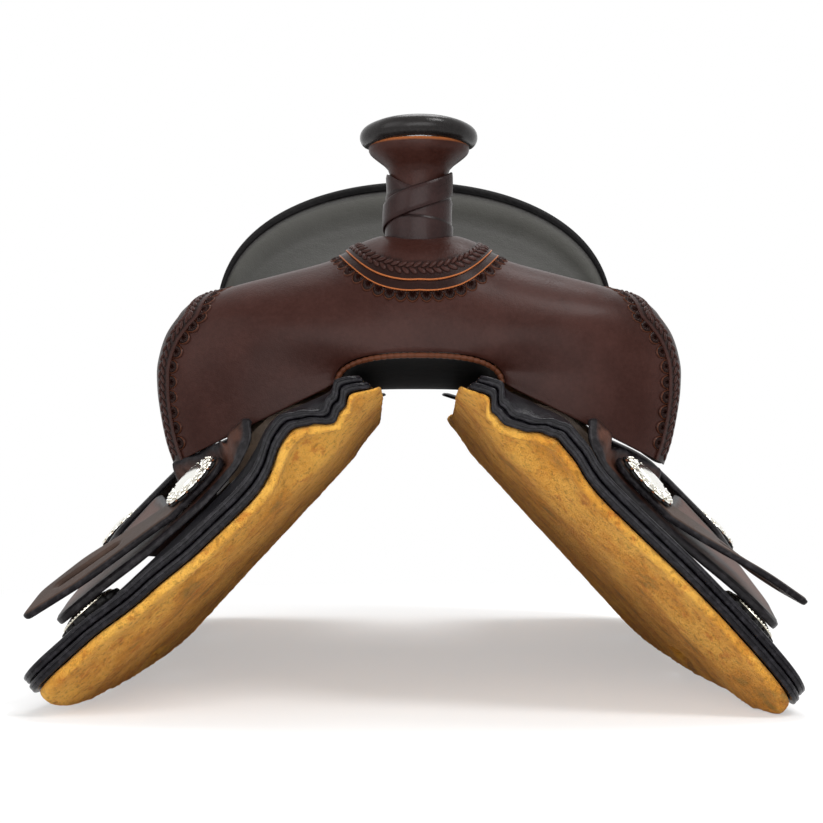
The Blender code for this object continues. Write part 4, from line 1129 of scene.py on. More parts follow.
cover = cut("fork_cover_leather", cover_outline, cover_profile, cover_bend, 0.0042, [neck_hole],
            [("raw", cut_hole_edge)], 0.0026)
settle(cover, "fork_leather", "fork_cover", smooth_angle=60)
print("fork cover:", len(cover.data.polygons), "faces")

# %% [markdown]
# The tooling is what this saddle is known by: a braid and two plain bands round the horn, a row of
# stamped shells, and the same border down the side of each swell. A saddler presses each shell with one
# stamp and each lobe of the braid with one beveller, so each is modelled once and copied.

# %% Stamps
SHELL = 0.0046
SHELL_LONG = SHELL * 1.55
LOBE = (0.00165, 0.0036, 0.0013)


def shell_stamp():
    """Half-round shell with fanned ribs inside a pale rim."""
    bm = bmesh.new()
    dye = bm.verts.layers.float.new("dye")
    raw = bm.verts.layers.float.new("raw")
    steps = 14
    ribbed = 0.8
    rows = [(0.12, 0.0004, 1.0, 0.0), (0.45, 0.0008, 0.8, 0.0), (0.74, 0.0005, 1.0, 0.0),
            (0.84, 0.0001, 1.0, 0.0), (0.93, 0.0006, 0.0, 0.10), (1.05, -0.0004, 0.5, 0.0)]
    rings = []
    for share, height, dark, pale in rows:
        row = []
        for k in range(steps + 1):
            turn = pi * k / steps
            rib = 0.00045 * (1 if k % 2 else -1) * (share < ribbed)
            vert = bm.verts.new((cos(turn) * SHELL * share, sin(turn) * SHELL_LONG * share, height + rib))
            vert[dye] = min(dark, 1.0 if k % 2 == 0 else 0.55) if share < ribbed else dark
            vert[raw] = pale
            row.append(vert)
        rings.append(row)
    base = [bm.verts.new((v.co.x, v.co.y, -0.0006)) for v in rings[-1]]
    rings.append(base)
    for low, high in zip(rings, rings[1:]):
        for k in range(steps):
            bm.faces.new((low[k], low[k + 1], high[k + 1], high[k]))
    bm.faces.new([row[0] for row in rings[:-1]] + [base[0], base[-1]] + [row[-1] for row in rings[-2::-1]])
    bm.faces.new(rings[0])
    bm.faces.new(base)
    bmesh.ops.recalc_face_normals(bm, faces=bm.faces[:])
    return closed_mesh(bm, "shell_stamp")


def ball(size, segments, rings_of):
    """A ball scaled to size, as a mesh to copy."""
    bpy.ops.object.select_all(action="DESELECT")
    bpy.ops.mesh.primitive_uv_sphere_add(segments=segments, ring_count=rings_of, radius=1)
    piece = bpy.context.object
    bpy.ops.object.mode_set(mode="EDIT")
    bpy.ops.transform.resize(value=size)
    bpy.ops.object.mode_set(mode="OBJECT")
    mesh = piece.data
    bpy.data.objects.remove(piece)
    return mesh


def braid_stamp():
    """One lobe of the braid: a long drop, dyed dark along its foot."""
    mesh = ball(LOBE, 10, 7)
    dye = mesh.attributes.new("dye", "FLOAT", "POINT")
    for index, vert in enumerate(mesh.vertices):
        vert.co.x *= 1 - 45 * vert.co.y
        dye.data[index].value = 0.85 * (1 - smooth(0.0, 0.0007, vert.co.z))
    return mesh


def add_copy(bm, mesh, place):
    """Adds a copy of a mesh, moved by a matrix, to a mesh under construction."""
    single = mesh.copy()
    single.transform(place)
    bm.from_mesh(single)
    bpy.data.meshes.remove(single)


def impressed(name, stamp, places):
    """Copies a stamp to every place, a matrix, and makes one piece of the copies."""
    bm = bmesh.new()
    for place in places:
        add_copy(bm, stamp, place)
    mesh = bpy.data.meshes.new(name)
    bm.to_mesh(mesh)
    bm.free()
    settle(placed(mesh), "fork_leather", body="saddle", smooth_angle=70)


def on_cover(across, forward, facing, n=0.0):
    """Matrix that puts a stamp on the cover; facing turns its y axis from across to forward."""
    middle = fork_spot(across, forward, n)
    step = 0.002
    y = (fork_spot(across, forward + step, n) - fork_spot(across, forward - step, n)).normalized()
    z = (fork_spot(across, forward, n + step) - middle).normalized()
    x = y.cross(z).normalized()
    y = z.cross(x).normalized()
    local = Matrix((x, y, z)).transposed().to_4x4()
    return Matrix.Translation(middle) @ local @ Matrix.Rotation(pi / 2 - facing, 4, "Z")


shell = shell_stamp()
lobe = braid_stamp()
print("shell", len(shell.polygons), "faces, lobe", len(lobe.polygons), "faces")

# %% Tooling round the horn
LOWER_BAND = (0.0246, 0.0668)
UPPER_BAND = (0.0246, 0.0602)
BAND_LEATHER = 0.0013
SHELL_PITCH = 0.0096
BRAID_ROWS = (0.0497, 0.0541)
BRAID_PITCH = 0.0053
BRAID_LEAN = radians(38)
ON_BAND = 0.0001
ON_LOWER_BAND = 0.0015
ON_UPPER_BAND = 0.0027
band_profile = edge_profile(BAND_LEATHER, 0.0004, 0.0012)


def band_marks(outer, dark_from):
    """A thin raw line at a band's outer edge, and dark dye outside a given radius."""
    def raw(a, b, n, away):
        return 0.75 * (1 - smooth(0.0005, 0.0008, outer - hypot(a, b) / oval(atan2(b, a))))

    def dye(a, b, n, away):
        return 0.75 * smooth(dark_from - 0.0004, dark_from + 0.0004, hypot(a, b) / oval(atan2(b, a)))
    return [("raw", raw), ("dye", dye)]


for name, (inner, outer), base, dark_from in (("horn_lower_band", LOWER_BAND, ON_BAND, 0.0600),
                                              ("horn_upper_band", UPPER_BAND, ON_LOWER_BAND, 0.0462)):
    def band_bend(a, b, n, base=base):
        return fork_spot(a, b + HORN_FORWARD, base + n)
    piece = cut(name, [Vector(p) for p in ring(outer, 90, oval)], band_profile, band_bend, 0.003,
                [[Vector(p) for p in ring(inner)]], band_marks(outer, dark_from))
    settle(piece, "fork_leather", body="saddle")

places = []
count = round(2 * pi * LOWER_BAND[1] / SHELL_PITCH)
for k in range(count):
    angle = 2 * pi * (k + 0.5) / count
    reach = (LOWER_BAND[1] + 0.0002) * oval(angle)
    places.append(on_cover(reach * cos(angle), reach * sin(angle) + HORN_FORWARD, angle))
impressed("horn_shells", shell, places)

places = []
count = round(2 * pi * BRAID_ROWS[0] / BRAID_PITCH)
for row, radius in enumerate(BRAID_ROWS):
    for k in range(count):
        angle = 2 * pi * (k + row * 0.5) / count
        reach = radius * oval(angle)
        lean = BRAID_LEAN * (1 if row else -1)
        places.append(on_cover(reach * cos(angle), reach * sin(angle) + HORN_FORWARD,
                               angle + pi / 2 + lean, ON_UPPER_BAND))
impressed("horn_braid", lobe, places)
print("horn tooling:", len(places), "lobes")

# %% [markdown]
# The border of each swell starts at the crest, sweeps forward and runs down the side. It is laid out
# along one curve on the cover, with shells along its inner side and a raw edge on its outer one.

# %% Course of the border
BORDER_START = read([fork_surface(u, 0.5).x for u in ARC_US], CREST, 0.1160)
BORDER_CURVE = [(-0.006, -0.010), (0.004, 0.007), (0.0185, 0.0270), (0.0367, 0.0410), (0.0522, 0.0412),
                (0.0667, 0.0380), (0.0794, 0.0362), (0.0945, 0.0350), (0.108, 0.0340), (0.124, 0.0334),
                (0.140, 0.0330), (0.154, 0.0326)]
border_lengths = [0.0]
for before, after in zip(BORDER_CURVE, BORDER_CURVE[1:]):
    border_lengths.append(border_lengths[-1] + (Vector(after) - Vector(before)).length)
border_length = border_lengths[-1]


def border_share(length):
    """Share of the border's curve that lies before a length along it."""
    k = max(i for i, start in enumerate(border_lengths[:-1]) if start <= length or i == 0)
    share = k + (length - border_lengths[k]) / (border_lengths[k + 1] - border_lengths[k])
    return min(max(share / (len(border_lengths) - 1), 0.0), 1.0)


def border_spot(side, length, width):
    """Across, forward and heading at a length along the border and a width out from its curve."""
    t = border_share(length)
    here = curve_through(BORDER_CURVE, t)
    ahead = curve_through(BORDER_CURVE, min(t + 0.01, 1)) - curve_through(BORDER_CURVE, max(t - 0.01, 0))
    ahead.normalize()
    spot = here + Vector((ahead.y, -ahead.x)) * width
    return side * (BORDER_START + spot.x), spot.y, atan2(ahead.y, ahead.x)


print("swell border:", round(border_length * 1000), "mm long")

# %% Tooling down the swells
BORDER_BAND = (0.0078, 0.0290)
ON_BORDER = 0.0012
BORDER_BRAID = (0.0142, 0.0186)
BORDER_SHELL_PITCH = 0.0104
BORDER_FROM = 0.001
BORDER_SHORT = 0.006
FIRST_SHELL = 0.008
FIRST_LOBE = 0.004
TOOLED_LENGTH = border_length - 0.012
inner, outer = BORDER_BAND


def border_raw(a, b, n, away):
    return 0.8 * (1 - smooth(0.0005, 0.0008, outer - b))


def border_dye(a, b, n, away):
    line = 1 - smooth(0.0003, 0.0007, abs(b - 0.0112))
    return max(0.8 * smooth(0.0118, 0.0124, b), line)


for label, side in SIDES.items():
    def border_bend(a, b, n, side=side):
        across, forward, _ = border_spot(side, a, b)
        return fork_spot(across, forward, ON_BAND + n)
    end = border_length - BORDER_SHORT
    outline = [Vector(p) for p in ((BORDER_FROM, inner), (end, inner), (end, outer), (BORDER_FROM, outer))]
    piece = cut(f"swell_border_{label}", outline, band_profile, border_bend, 0.0022, (),
                [("raw", border_raw), ("dye", border_dye)], 0.0015)
    settle(piece, "fork_leather", body="saddle")
    shells = []
    for k in range(int(TOOLED_LENGTH / BORDER_SHELL_PITCH)):
        across, forward, turn = border_spot(side, FIRST_SHELL + k * BORDER_SHELL_PITCH, inner)
        shells.append(on_cover(across, forward, pi / 2 + side * turn))
    impressed(f"swell_shells_{label}", shell, shells)
    lobes = []
    for row, width in enumerate(BORDER_BRAID):
        for k in range(int(TOOLED_LENGTH / BRAID_PITCH)):
            across, forward, turn = border_spot(side, FIRST_LOBE + (k + row * 0.5) * BRAID_PITCH, width)
            turn += BRAID_LEAN * (-1 if row else 1)
            lobes.append(on_cover(across, forward, turn if side > 0 else pi - turn, ON_BORDER))
    impressed(f"swell_braid_{label}", lobe, lobes)
    print(label, "swell:", len(shells), "shells and", len(lobes), "lobes")

# %% [markdown]
# Under the arch lies a black lining, and its front edge is closed by a rolled binding that is sewn
# through the cover, with its thread pulled into the roll at every stitch. The binding, like the
# horn's winding and the cantle's binding later, is a row of rings that are skinned into one piece.

# %% Skinning a row of rings


def loft(name, rings, capped=True):
    """Skins a row of equal rings, with a face on each end or closed round."""
    bm = bmesh.new()
    rows = [[bm.verts.new(point) for point in ring_points] for ring_points in rings]
    count = len(rings[0])
    for first, second in zip(rows, rows[1:] if capped else rows[1:] + rows[:1]):
        for k in range(count):
            after = (k + 1) % count
            bm.faces.new((first[k], first[after], second[after], second[k]))
    if capped:
        bm.faces.new(rows[0])
        bm.faces.new(rows[-1])
    bmesh.ops.recalc_face_normals(bm, faces=bm.faces[:])
    return placed(closed_mesh(bm, name))


def point_mark(piece, mark, value):
    """Stores a number at every point of a piece."""
    layer = piece.data.attributes.new(mark, "FLOAT", "POINT")
    for index, vert in enumerate(piece.data.vertices):
        layer.data[index].value = value(vert.co, index)


print("helpers for skinned pieces are ready")

# %% Gullet lining
LINER_HALF = 0.060
LINER_Y = (-0.2825, -0.060)
LINER_HALF_WIDTH = (0.0495, 0.0560)
LINER_END_Z = (0.2050, 0.1985)
LINER_TOP_Z = (0.2225, 0.2040)
ARCH_SHARE = 0.97


def liner_bend(a, b, n):
    """Arches the lining, lower and wider towards the back."""
    back = smooth(-0.215, -0.090, b)
    half, end_z, top_z = (mix(*ends, back) for ends in (LINER_HALF_WIDTH, LINER_END_Z, LINER_TOP_Z))
    point = arch(a / LINER_HALF, half, end_z, top_z)
    return Vector((point.x, b, point.y + n))


front, back = LINER_Y
reach = ARCH_SHARE * LINER_HALF
liner_outline = [Vector(p) for p in ((-reach, front), (reach, front), (reach, back), (-reach, back))]
liner = cut("gullet_lining", liner_outline, edge_profile(0.0022, 0.0006), liner_bend, 0.004)
settle(liner, "liner_leather", "gullet_liner")
print("lining:", len(liner.data.polygons), "faces")

# %% Gullet binding
BINDING_RADIUS = 0.0018
BINDING_STITCH = 0.0042
BINDING_STEPS = 240
BINDING_SIDES = 12
rings = []
stitches = []
travelled = 0.0
previous = None
for k in range(BINDING_STEPS + 1):
    u = (2 * k / BINDING_STEPS - 1) * ARCH_SHARE
    lip = fork_surface(u, 0.0)
    ahead = (fork_surface(u + 0.004, 0.0) - fork_surface(u - 0.004, 0.0)).normalized()
    travelled += (lip - previous).length if previous else 0.0
    previous = lip
    inward_way = Vector((0, 1, 0)).cross(ahead)
    centre = lip + inward_way * (BINDING_RADIUS + 0.0003) + Vector((0, 0.0016, 0))
    pull = 1 - 0.16 * (0.5 + 0.5 * cos(2 * pi * travelled / BINDING_STITCH)) ** 3
    rings.append([centre + (inward_way * cos(t) + Vector((0, 1, 0)) * sin(t)) * BINDING_RADIUS * pull
                  for t in (2 * pi * j / BINDING_SIDES for j in range(BINDING_SIDES))])
    stitches.append(pull)
roll = loft("gullet_binding_roll", rings)
point_mark(roll, "dye", lambda co, index: 0.8 * (1 - smooth(0.86, 0.97, stitches[index // BINDING_SIDES])))
point_mark(roll, "raw", lambda co, index: 0.12)
settle(roll, "fork_leather", "gullet_binding")
print("gullet binding:", round(travelled * 1000), "mm")

# %% [markdown]
# The horn is turned: a flat leather cap with a thick rolled rim, a flared underside, and a neck wound
# with strips. Each part starts as a circle that is extruded and scaled from ring to ring, as on a
# lathe, and is then tipped up at the front with the cap.

# %% Turning
TURNED_SIDES = 96
CAP_TIP = radians(2)


def turned(name, profile, closed_ends=True):
    """Extrudes a circle through (radius, z) rings about an upright axis at the origin."""
    bpy.ops.object.select_all(action="DESELECT")
    radius, z = profile[0]
    bpy.ops.mesh.primitive_circle_add(vertices=TURNED_SIDES, radius=radius, location=(0, 0, 0))
    piece = bpy.context.object
    piece.name = name
    bpy.ops.object.mode_set(mode="EDIT")
    bpy.ops.mesh.select_all(action="SELECT")
    bpy.ops.transform.translate(value=(0, 0, z))
    for (before, low), (after, high) in zip(profile, profile[1:]):
        bpy.ops.mesh.extrude_region_move(TRANSFORM_OT_translate={"value": (0, 0, high - low)})
        share = after / before
        bpy.ops.transform.resize(value=(share, share, 1), center_override=(0, 0, high))
    if closed_ends:
        bpy.ops.mesh.edge_face_add()
        bpy.ops.mesh.select_all(action="DESELECT")
        bpy.ops.mesh.select_non_manifold()
        bpy.ops.mesh.edge_face_add()
    bpy.ops.mesh.select_all(action="SELECT")
    bpy.ops.mesh.normals_make_consistent(inside=False)
    bpy.ops.object.mode_set(mode="OBJECT")
    return piece


def horn_tip(point):
    """Moves a point turned about the origin onto the horn's axis, tipped with the cap."""
    tip = CAP_TIP * smooth(0.334, 0.356, point.z)
    return Vector((point.x, HORN_Y + point.y, point.z - point.y * sin(tip)))


def reshape(piece, move):
    for vert in piece.data.vertices:
        vert.co = move(vert.co.copy())


print("horn cap is tipped", round(CAP_TIP * 180 / pi, 1), "degrees")

# %% Horn cap
CAP_RADIUS = 0.0380
CAP_RIM = (0.0066, 0.0068)
CAP_RIM_Z = 0.3655
CAP_DROOP = 0.0030
RIM_DEGREES = range(100, -95, -13)
rim = [(CAP_RADIUS - CAP_RIM[0] + CAP_RIM[0] * cos(radians(d)), CAP_RIM_Z + CAP_RIM[1] * sin(radians(d)))
       for d in RIM_DEGREES]
cap_profile = [(0.0010, 0.3737), (0.0060, 0.3737), (0.0150, 0.3734), (0.0215, 0.3728), (0.0262, 0.3717),
               (0.0285, 0.3714), *rim, (0.0300, 0.3590), (0.0290, 0.3604), (0.0010, 0.3604)]
cap = turned("horn_cap_leather", cap_profile)


def cap_wear(point):
    """The cap is pulled over by hand, so its rim is a little uneven, and it droops to the sides."""
    turn = atan2(point.y, point.x)
    uneven = noise.noise(Vector((cos(turn) * 2.2, sin(turn) * 2.2, point.z * 60))) * 0.0005
    away = hypot(point.x, point.y)
    share = 1 + uneven * smooth(0.020, 0.036, away) / max(away, 0.001)
    droop = CAP_DROOP * cos(turn) ** 2 * smooth(0.022, 0.036, away)
    return horn_tip(Vector((point.x * share, point.y * share, point.z - droop)))


reshape(cap, cap_wear)
settle(cap, "horn_leather", "horn_cap_upper", smooth_angle=60)

# %% Underside of the horn
flare_profile = [(0.0168, 0.3347), (0.0168, 0.3262), (0.0186, 0.3262), (0.0187, 0.3330), (0.0190, 0.3392),
                 (0.0200, 0.3420), (0.0224, 0.3446), (0.0250, 0.3466), (0.0275, 0.3485), (0.0298, 0.3504),
                 (0.0314, 0.3520), (0.0323, 0.3536), (0.0325, 0.3560), (0.0323, 0.3579), (0.0318, 0.3583),
                 (0.0309, 0.3580), (0.0307, 0.3538), (0.0209, 0.3440), (0.0168, 0.3347)]
flare = turned("horn_underside", flare_profile, closed_ends=False)
bpy.ops.object.mode_set(mode="EDIT")
bpy.ops.mesh.select_all(action="SELECT")
bpy.ops.mesh.remove_doubles(threshold=0.00001)
bpy.ops.mesh.normals_make_consistent(inside=False)
bpy.ops.object.mode_set(mode="OBJECT")


def cut_rim(co, index):
    """The upper edge of the underside is left raw."""
    return smooth(0.3570, 0.3578, co.z) * smooth(0.0305, 0.0312, hypot(co.x, co.y))


point_mark(flare, "raw", cut_rim)
reshape(flare, horn_tip)
settle(flare, "fork_leather", "horn_cap_lower", smooth_angle=60)
print("underside:", len(flare.data.polygons), "faces")

# %% [markdown]
# The neck is wound with one long strip. Each turn laps over the one below, and the last two ends cross
# in front in a V. The winding is a grid rolled round the neck, with a step where each turn laps.

# %% Neck winding
WRAP_PITCH = 0.0165
WRAP_LAP = 0.0009
WRAP_FOOT = 0.2903
WRAP_INSIDE = 0.0196
WRAP_STEPS = (120, 44)
STRAP_STEPS = 90
STRAP_TURN = (-1.95, 1.20)
STRAP_Z = 0.3235
STRAP_CLIMB = 0.0075
STRAP_SECTION = [(-0.0086, 0.0002), (-0.0088, 0.0010), (-0.0081, 0.0017), (-0.0050, 0.0019), (0.0, 0.0020),
                 (0.0040, 0.0019), (0.0064, 0.0017), (0.0071, 0.0010), (0.0069, 0.0002)]
STRAP_EDGES = (0, 1, 7, 8)


def wrap_top(angle):
    """Height of the winding's upper edge, which dips to a V at the front."""
    away = abs((angle + pi / 2 + pi) % (2 * pi) - pi)
    return mix(0.3290, 0.3388, smooth(0.0, 1.5, away))


def neck_point(radius, angle, z):
    return horn_tip(Vector((radius * cos(angle), radius * sin(angle), z)))


rings = []
laps = []
for k in range(WRAP_STEPS[0]):
    angle = 2 * pi * k / WRAP_STEPS[0]
    top = wrap_top(angle)
    row = [neck_point(WRAP_INSIDE, angle, top - 0.0004)]
    lap_row = [0.0]
    for j in range(WRAP_STEPS[1] + 1):
        z = mix(top, WRAP_FOOT, j / WRAP_STEPS[1])
        base = mix(0.0222, 0.0213, smooth(0.2950, 0.3200, z))
        lap = ((z - 0.2900) / WRAP_PITCH + 0.55 * sin(angle + 0.4) / 2) % 1.0
        step = WRAP_LAP * lap ** 2 * smooth(0.0, 0.06, lap) * (1 - smooth(0.94, 1.0, lap))
        round_top = 0.0007 * (1 - smooth(0.0, 0.0022, top - z))
        row.append(neck_point(base - 0.0004 + step - round_top, angle, z))
        lap_row.append(max(smooth(0.86, 0.98, lap), 1 - smooth(0.0, 0.05, lap)))
    row.append(neck_point(WRAP_INSIDE, angle, WRAP_FOOT))
    lap_row.append(0.0)
    rings.append(row)
    laps += lap_row
wrap = loft("neck_winding", rings, capped=False)
point_mark(wrap, "dye", lambda co, index: 0.8 * laps[index])
settle(wrap, "wrap_leather", "horn_wrap", smooth_angle=70)

rings = []
for k in range(STRAP_STEPS + 1):
    turn = mix(*STRAP_TURN, k / STRAP_STEPS)
    angle = -pi / 2 + turn
    middle = STRAP_Z + STRAP_CLIMB * turn
    row = []
    for rise, out in STRAP_SECTION:
        z = middle + rise
        row.append(neck_point(mix(0.0219, 0.0214, smooth(0.300, 0.320, z)) + out, angle, z))
    rings.append(row)
strap = loft("neck_winding_end", rings)
point_mark(strap, "dye", lambda co, index: 0.7 * (index % len(STRAP_SECTION) in STRAP_EDGES))
settle(strap, "wrap_leather", "horn_wrap_strap", smooth_angle=60)
print("winding:", len(wrap.data.polygons), "faces")

# %% [markdown]
# The seat is a leather cover over 10 mm of foam. It is tight at the edges and fuller in the middle, with
# a soft roll where the dish meets the cantle. The foam pushes the cover out by a few millimetres, so
# the cover is swelled along its own normals instead of being blown up as a cushion would be. Its edge
# is turned down over the foam's side.

# %% Seat
SEAT_SCALE = (0.16, 0.33)
SEAT_LENGTH = 0.325
SEAT_LEATHER = 0.0035
SEAT_FULLNESS = 0.0022


def seat_surface(q, p):
    """Top of the seat: q across from edge to edge, p from the fork to the cantle's rim."""
    around = (1 - 0.9 * q) * pi / 2
    front = Vector((0.098 * q, -0.166, 0.252 - 0.037 * q * q))
    dip = Vector((0.098 * q, -0.030, 0.222 - 0.047 * q * q))
    dish = Vector((0.096 * q, 0.125 - 0.015 * q * q, 0.212 + 0.012 * q * q))
    rise = 0.2655 + 0.1280 * max(sin(around), 0.0) ** 0.8
    rim_point = Vector((0.166 * cos(around), 0.130 + 0.085 * sin(around), rise))
    m = 1 - p
    return front * m ** 3 + dip * (3 * m * m * p) + dish * (3 * m * p * p) + rim_point * p ** 3


def seat_at(q, p, n):
    """A point at a height n on the seat."""
    safe_q = min(max(q, -0.99), 0.99)
    return seat_surface(q, p) + offset(seat_surface, safe_q, p, n) - seat_surface(safe_q, p)


def seat_bend(a, b, n):
    """Lays the cover on the foam; its top side is fuller and a little wrinkled in the middle."""
    q, p = sin(a / SEAT_SCALE[0] * pi / 2), b / SEAT_SCALE[1]
    full = smooth(0.0, 0.25, p) * (1 - smooth(0.80, 0.93, p)) * (1 - smooth(0.72, 0.97, abs(q)))
    roll = 0.0016 * exp(-(((p - 0.958) / 0.014) ** 2)) * (1 - smooth(0.90, 0.99, abs(q)))
    crease_line = -0.0009 * exp(-(((p - 0.932) / 0.006) ** 2))
    swell = SEAT_FULLNESS * full + roll + crease_line
    wrinkle = 0.0005 * noise.noise(Vector((a * 26, b * 12, 1.5))) * full
    return seat_at(q, p, n + (swell + wrinkle if n > -0.002 else 0.0))


half = SEAT_SCALE[0]
seat_outline = [Vector(p) for p in ((-half, 0), (half, 0), (half, SEAT_LENGTH), (-half, SEAT_LENGTH))]
turned_down = [(0.0030, -SEAT_LEATHER), (0.0030, -0.0126), (0.0024, -0.0132), (0.0008, -0.0132),
               (0.0001, -0.0125), (0.0, -0.0080)]
upper_edge = edge_profile(SEAT_LEATHER, 0.0009)[4:]
seat_profile = turned_down + [(d, h - SEAT_LEATHER) for d, h in upper_edge]


def painted_sheen_near_rim(a, b, n, away):
    """Painted sheen: the cover is painted paler where it turns up to the cantle's rim, with a painted
    highlight along its roll.
    """
    return 0.30 * smooth(0.60, 0.95, b / SEAT_SCALE[1]) + 0.45 * smooth(0.93, 0.97, b / SEAT_SCALE[1])


# The `pale` mark on the seat is a painted sheen and a painted highlight near the cantle.
seat = cut("seat_leather_cover", seat_outline, seat_profile, seat_bend, 0.005, (),
           [burnished(0.002), ("pale", painted_sheen_near_rim)], 0.003)
settle(seat, "seat_leather", "seat_cover", "seat_foam", smooth_angle=60)
print("seat cover:", len(seat.data.polygons), "faces")

# %% [markdown]
# A strip of the same leather is folded over the cantle's rim and sewn through below it. It is skinned
# over one section, given in the seat's own terms, which is carried from one end of the rim to the
# other. Every second step the thread's dark hole shows at THREAD_POINT of the section.

# %% Cantle binding
CANTLE_STEPS = 160
THREAD_POINT = 16
section = [(0.979, 0.0008), (0.9865, 0.0008), (0.9865, -0.0308), (0.955, -0.0308), (0.955, -0.0330),
           (0.970, -0.0333), (0.985, -0.0330), (0.9925, -0.0290), (0.9955, -0.0240), (0.9962, -0.0160),
           (0.9957, -0.0090), (0.9955, -0.0040), (0.9945, -0.0005), (0.9920, 0.0012), (0.9890, 0.0019),
           (0.9860, 0.0021), (0.9830, 0.0020), (0.9805, 0.0017), (0.9792, 0.0012)]
rings = [[seat_at(sin(pi / 2 * (2 * k / CANTLE_STEPS - 1)), p, n) for p, n in section]
         for k in range(CANTLE_STEPS + 1)]
binding = loft("cantle_binding_leather", rings)


def thread_holes(co, index):
    ring_index, section_index = divmod(index, len(section))
    return 0.6 if section_index == THREAD_POINT and ring_index % 2 else 0.0


point_mark(binding, "dye", thread_holes)
settle(binding, "seat_leather", "cantle_binding", finish=LEATHERS["binding_leather"], smooth_angle=55)
print("cantle binding:", len(binding.data.polygons), "faces")

# %% [markdown]
# The conchos are cast silver: a scalloped rim of beads and petals round a plain oval dome. They sit on
# rosettes of black leather whose edges are cut into lobes. A bead, a petal and a lobe are modelled once
# and copied round.

# %% Concho parts
LOBE_FADE = 0.72
BEAD = ball((0.00105, 0.00105, 0.0008), 8, 6)
PETAL = ball((0.0030, 0.0017, 0.0009), 8, 6)
SMALL_BEAD = ball((0.0006, 0.0006, 0.0005), 6, 5)


def place_in(axes):
    """Matrix of a flat frame, with x downhill, y rearward or forward, and z outward."""
    middle, downhill, _, outward = axes
    y = outward.cross(downhill).normalized()
    return Matrix.Translation(middle) @ Matrix((downhill, y, outward)).transposed().to_4x4()


def lobed(radius, lobes, depth):
    """Radius of a scalloped edge at an angle."""
    return lambda angle: radius * (1 - depth * (1 - abs(cos(lobes * angle / 2))))


def scalloped_disc(name, rows, radius_at, sides, matrix):
    """Closed disc from (share of radius, height) rows whose lobes fade towards the middle."""
    rings = []
    for share, height in rows:
        row = []
        for k in range(sides):
            angle = 2 * pi * k / sides
            edge = mix(radius_at(0), radius_at(angle), smooth(LOBE_FADE, 1.0, share))
            row.append(matrix @ Vector((cos(angle) * edge * share, sin(angle) * edge * share, height)))
        rings.append(row)
    return loft(name, rings)


def ring_of(mesh, radius, count, height, start=0.0):
    """Copies round a circle, each a mesh and the matrix that turns it to face outwards."""
    outwards = Matrix.Translation((radius, 0, height))
    return [(mesh, Matrix.Rotation(start + 2 * pi * k / count, 4, "Z") @ outwards) for k in range(count)]


def add_round(disc, copies, matrix):
    """Joins copies to a disc, all of them placed by the disc's matrix."""
    bm = bmesh.new()
    bm.from_mesh(disc.data)
    for mesh, local in copies:
        add_copy(bm, mesh, matrix @ local)
    bm.to_mesh(disc.data)
    bm.free()


print("petal", len(PETAL.polygons), "faces, bead", len(BEAD.polygons), "faces")

# %% Ornate concho
CONCHO_LOBES = 12
CONCHO_SECTION = [
    (0.05, 0.0), (0.80, 0.0), (0.97, 0.0), (1.0, 0.0004), (0.99, 0.0010), (0.95, 0.0014), (0.88, 0.0012),
    (0.80, 0.0016), (0.70, 0.0017), (0.60, 0.0015), (0.555, 0.0019), (0.53, 0.0027), (0.48, 0.0034),
    (0.38, 0.0040), (0.24, 0.0044), (0.10, 0.0046), (0.02, 0.0046),
]


def concho(name, axes, radius, node):
    """Dished rim with lobes, beads and petals, and a plain dome."""
    matrix = place_in(axes)
    edge = lobed(radius, CONCHO_LOBES, 0.08)
    disc = scalloped_disc(name, CONCHO_SECTION, edge, CONCHO_LOBES * 8, matrix)
    copies = ring_of(BEAD, radius * 0.905, CONCHO_LOBES, 0.0014)
    copies += ring_of(BEAD, radius * 0.88, CONCHO_LOBES, 0.0014, pi / CONCHO_LOBES)
    copies += ring_of(PETAL, radius * 0.735, CONCHO_LOBES, 0.0016)
    copies += ring_of(SMALL_BEAD, radius * 0.575, CONCHO_LOBES * 3, 0.0018)
    add_round(disc, copies, matrix)
    inverse = matrix.inverted()

    def grime(co, index):
        local = inverse @ co
        away = hypot(local.x, local.y) / radius
        low = 1 - smooth(0.0013, 0.0021, local.z)
        return smooth(0.56, 0.60, away) * low * (1 - smooth(0.93, 0.97, away))
    point_mark(disc, "dye", grime)
    settle(disc, "silver", node, smooth_angle=50)


print("concho's dome:", CONCHO_SECTION[-1][1] * 1000, "mm high")

# %% Rosettes and domed concho
SIDES_PER_LOBE = 10
ROSETTE_SECTION = [(0.13, 0.0), (0.95, 0.0), (0.99, 0.2), (1.0, 0.55), (0.98, 0.9), (0.94, 1.0), (0.88, 1.0),
                   (0.86, 0.72), (0.83, 0.72), (0.81, 1.0), (0.50, 1.0), (0.13, 1.0)]
DOME_SECTION = [
    (0.05, 0.0), (0.98, 0.0), (1.0, 0.0003), (1.0, 0.0008), (0.96, 0.0012), (0.90, 0.0012), (0.885, 0.0018),
    (0.80, 0.0028), (0.66, 0.0038), (0.48, 0.0046), (0.28, 0.0051), (0.10, 0.0053), (0.02, 0.0053),
]


def rosette(name, axes, radius, thickness, lobes, node):
    """Black leather rosette with a lobed edge, a line tooled inside it and a raised bead in each lobe."""
    matrix = place_in(axes)
    rows = [(share, thickness * height) for share, height in ROSETTE_SECTION]
    disc = scalloped_disc(name, rows, lobed(radius, lobes, 0.12), lobes * SIDES_PER_LOBE, matrix)
    leather_points = len(disc.data.vertices)
    add_round(disc, ring_of(BEAD, radius * 0.905, lobes, thickness * 0.86, pi / lobes), matrix)
    inverse = matrix.inverted()

    def flecks(co, index):
        local = inverse @ co
        return 0.55 * (index >= leather_points) * smooth(thickness * 0.9, thickness * 1.25, local.z)
    point_mark(disc, "raw", flecks)
    settle(disc, "rosette_leather", node, smooth_angle=50)


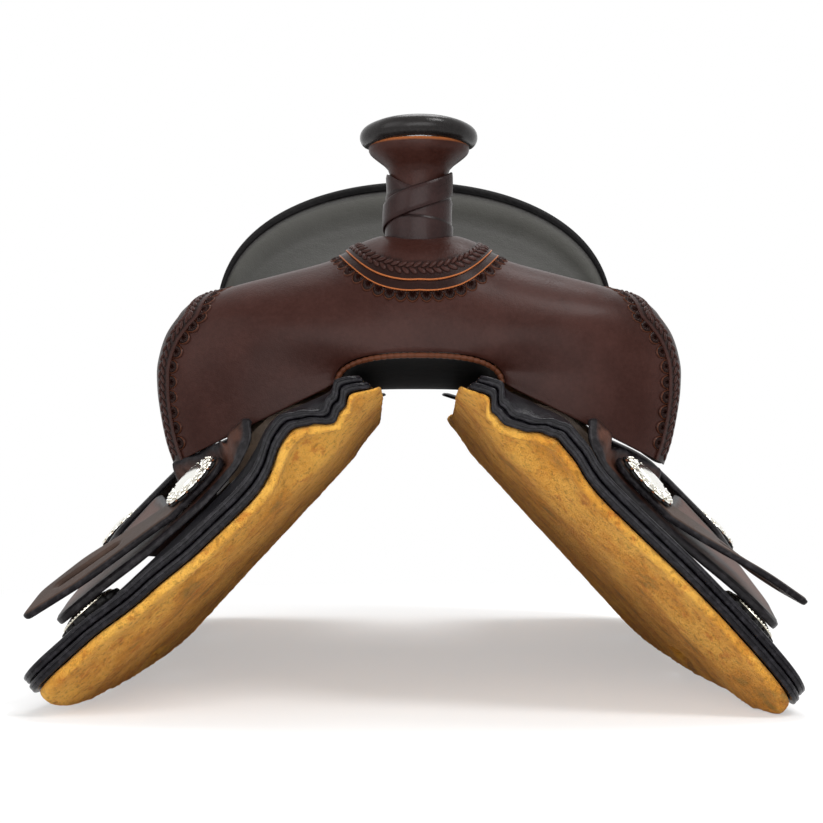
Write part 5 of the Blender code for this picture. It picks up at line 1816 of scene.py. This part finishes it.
def dome_concho(name, axes, radius, node):
    """Plain domed concho with a rope rim."""
    matrix = place_in(axes)
    disc = scalloped_disc(name, DOME_SECTION, lambda angle: radius, 72, matrix)
    add_round(disc, ring_of(BEAD, radius * 0.935, 44, 0.0011), matrix)
    inverse = matrix.inverted()

    def grime(co, index):
        local = inverse @ co
        return 0.9 * (1 - smooth(0.0010, 0.0016, local.z)) * smooth(0.86, 0.90, hypot(*local.xy) / radius)
    point_mark(disc, "dye", grime)
    settle(disc, "silver", node, smooth_angle=50)


print("domed concho:", DOME_SECTION[-1][1] * 1000, "mm high")

# %% [markdown]
# Each concho lies on its rosette, with a hair's gap between them: on the latigo keeper, on the skirt
# below the front jockey's tip, and on the seat jockey.

# %% Conchos and rosettes in place
ROSETTE_LEATHER = 0.0018
SKIRT_ROSETTE_LEATHER = 0.0044
SKIRT_TOP = 0.0126
SKIRT_CONCHO_AT = (-0.288, 0.190)
GAP = 0.0003
SEAT_JOCKEY_GAP = 0.0008
for label, side in SIDES.items():
    top = raise_frame(keeper_frames[label], KEEPER_LEATHER + GAP)
    rosette(f"front_rosette_leather_{label}", top, 0.0215, ROSETTE_LEATHER, 12, f"front_rosette_{label}")
    concho(f"front_silver_concho_{label}", raise_frame(top, ROSETTE_LEATHER + GAP), 0.0205,
           f"front_concho_{label}")
    flat = seat_frame(side, *SKIRT_CONCHO_AT, lambda y, s: SKIRT_TOP, GAP)
    rosette(f"skirt_rosette_leather_{label}", flat, 0.0235, SKIRT_ROSETTE_LEATHER, 14,
            f"skirt_rosette_{label}")
    dome_concho(f"skirt_silver_dome_{label}", raise_frame(flat, SKIRT_ROSETTE_LEATHER + GAP), 0.0200,
                f"skirt_concho_{label}")
    flat = seat_frame(side, *SEAT_CONCHO_AT, lambda y, s: jockey_height(y, s) + JOCKEY_LEATHER,
                      SEAT_JOCKEY_GAP)
    rosette(f"jockey_rosette_leather_{label}", flat, 0.0205, ROSETTE_LEATHER, 12, f"jockey_rosette_{label}")
    concho(f"jockey_silver_concho_{label}", raise_frame(flat, ROSETTE_LEATHER + GAP), 0.0185,
           f"jockey_concho_{label}")
print("conchos set")
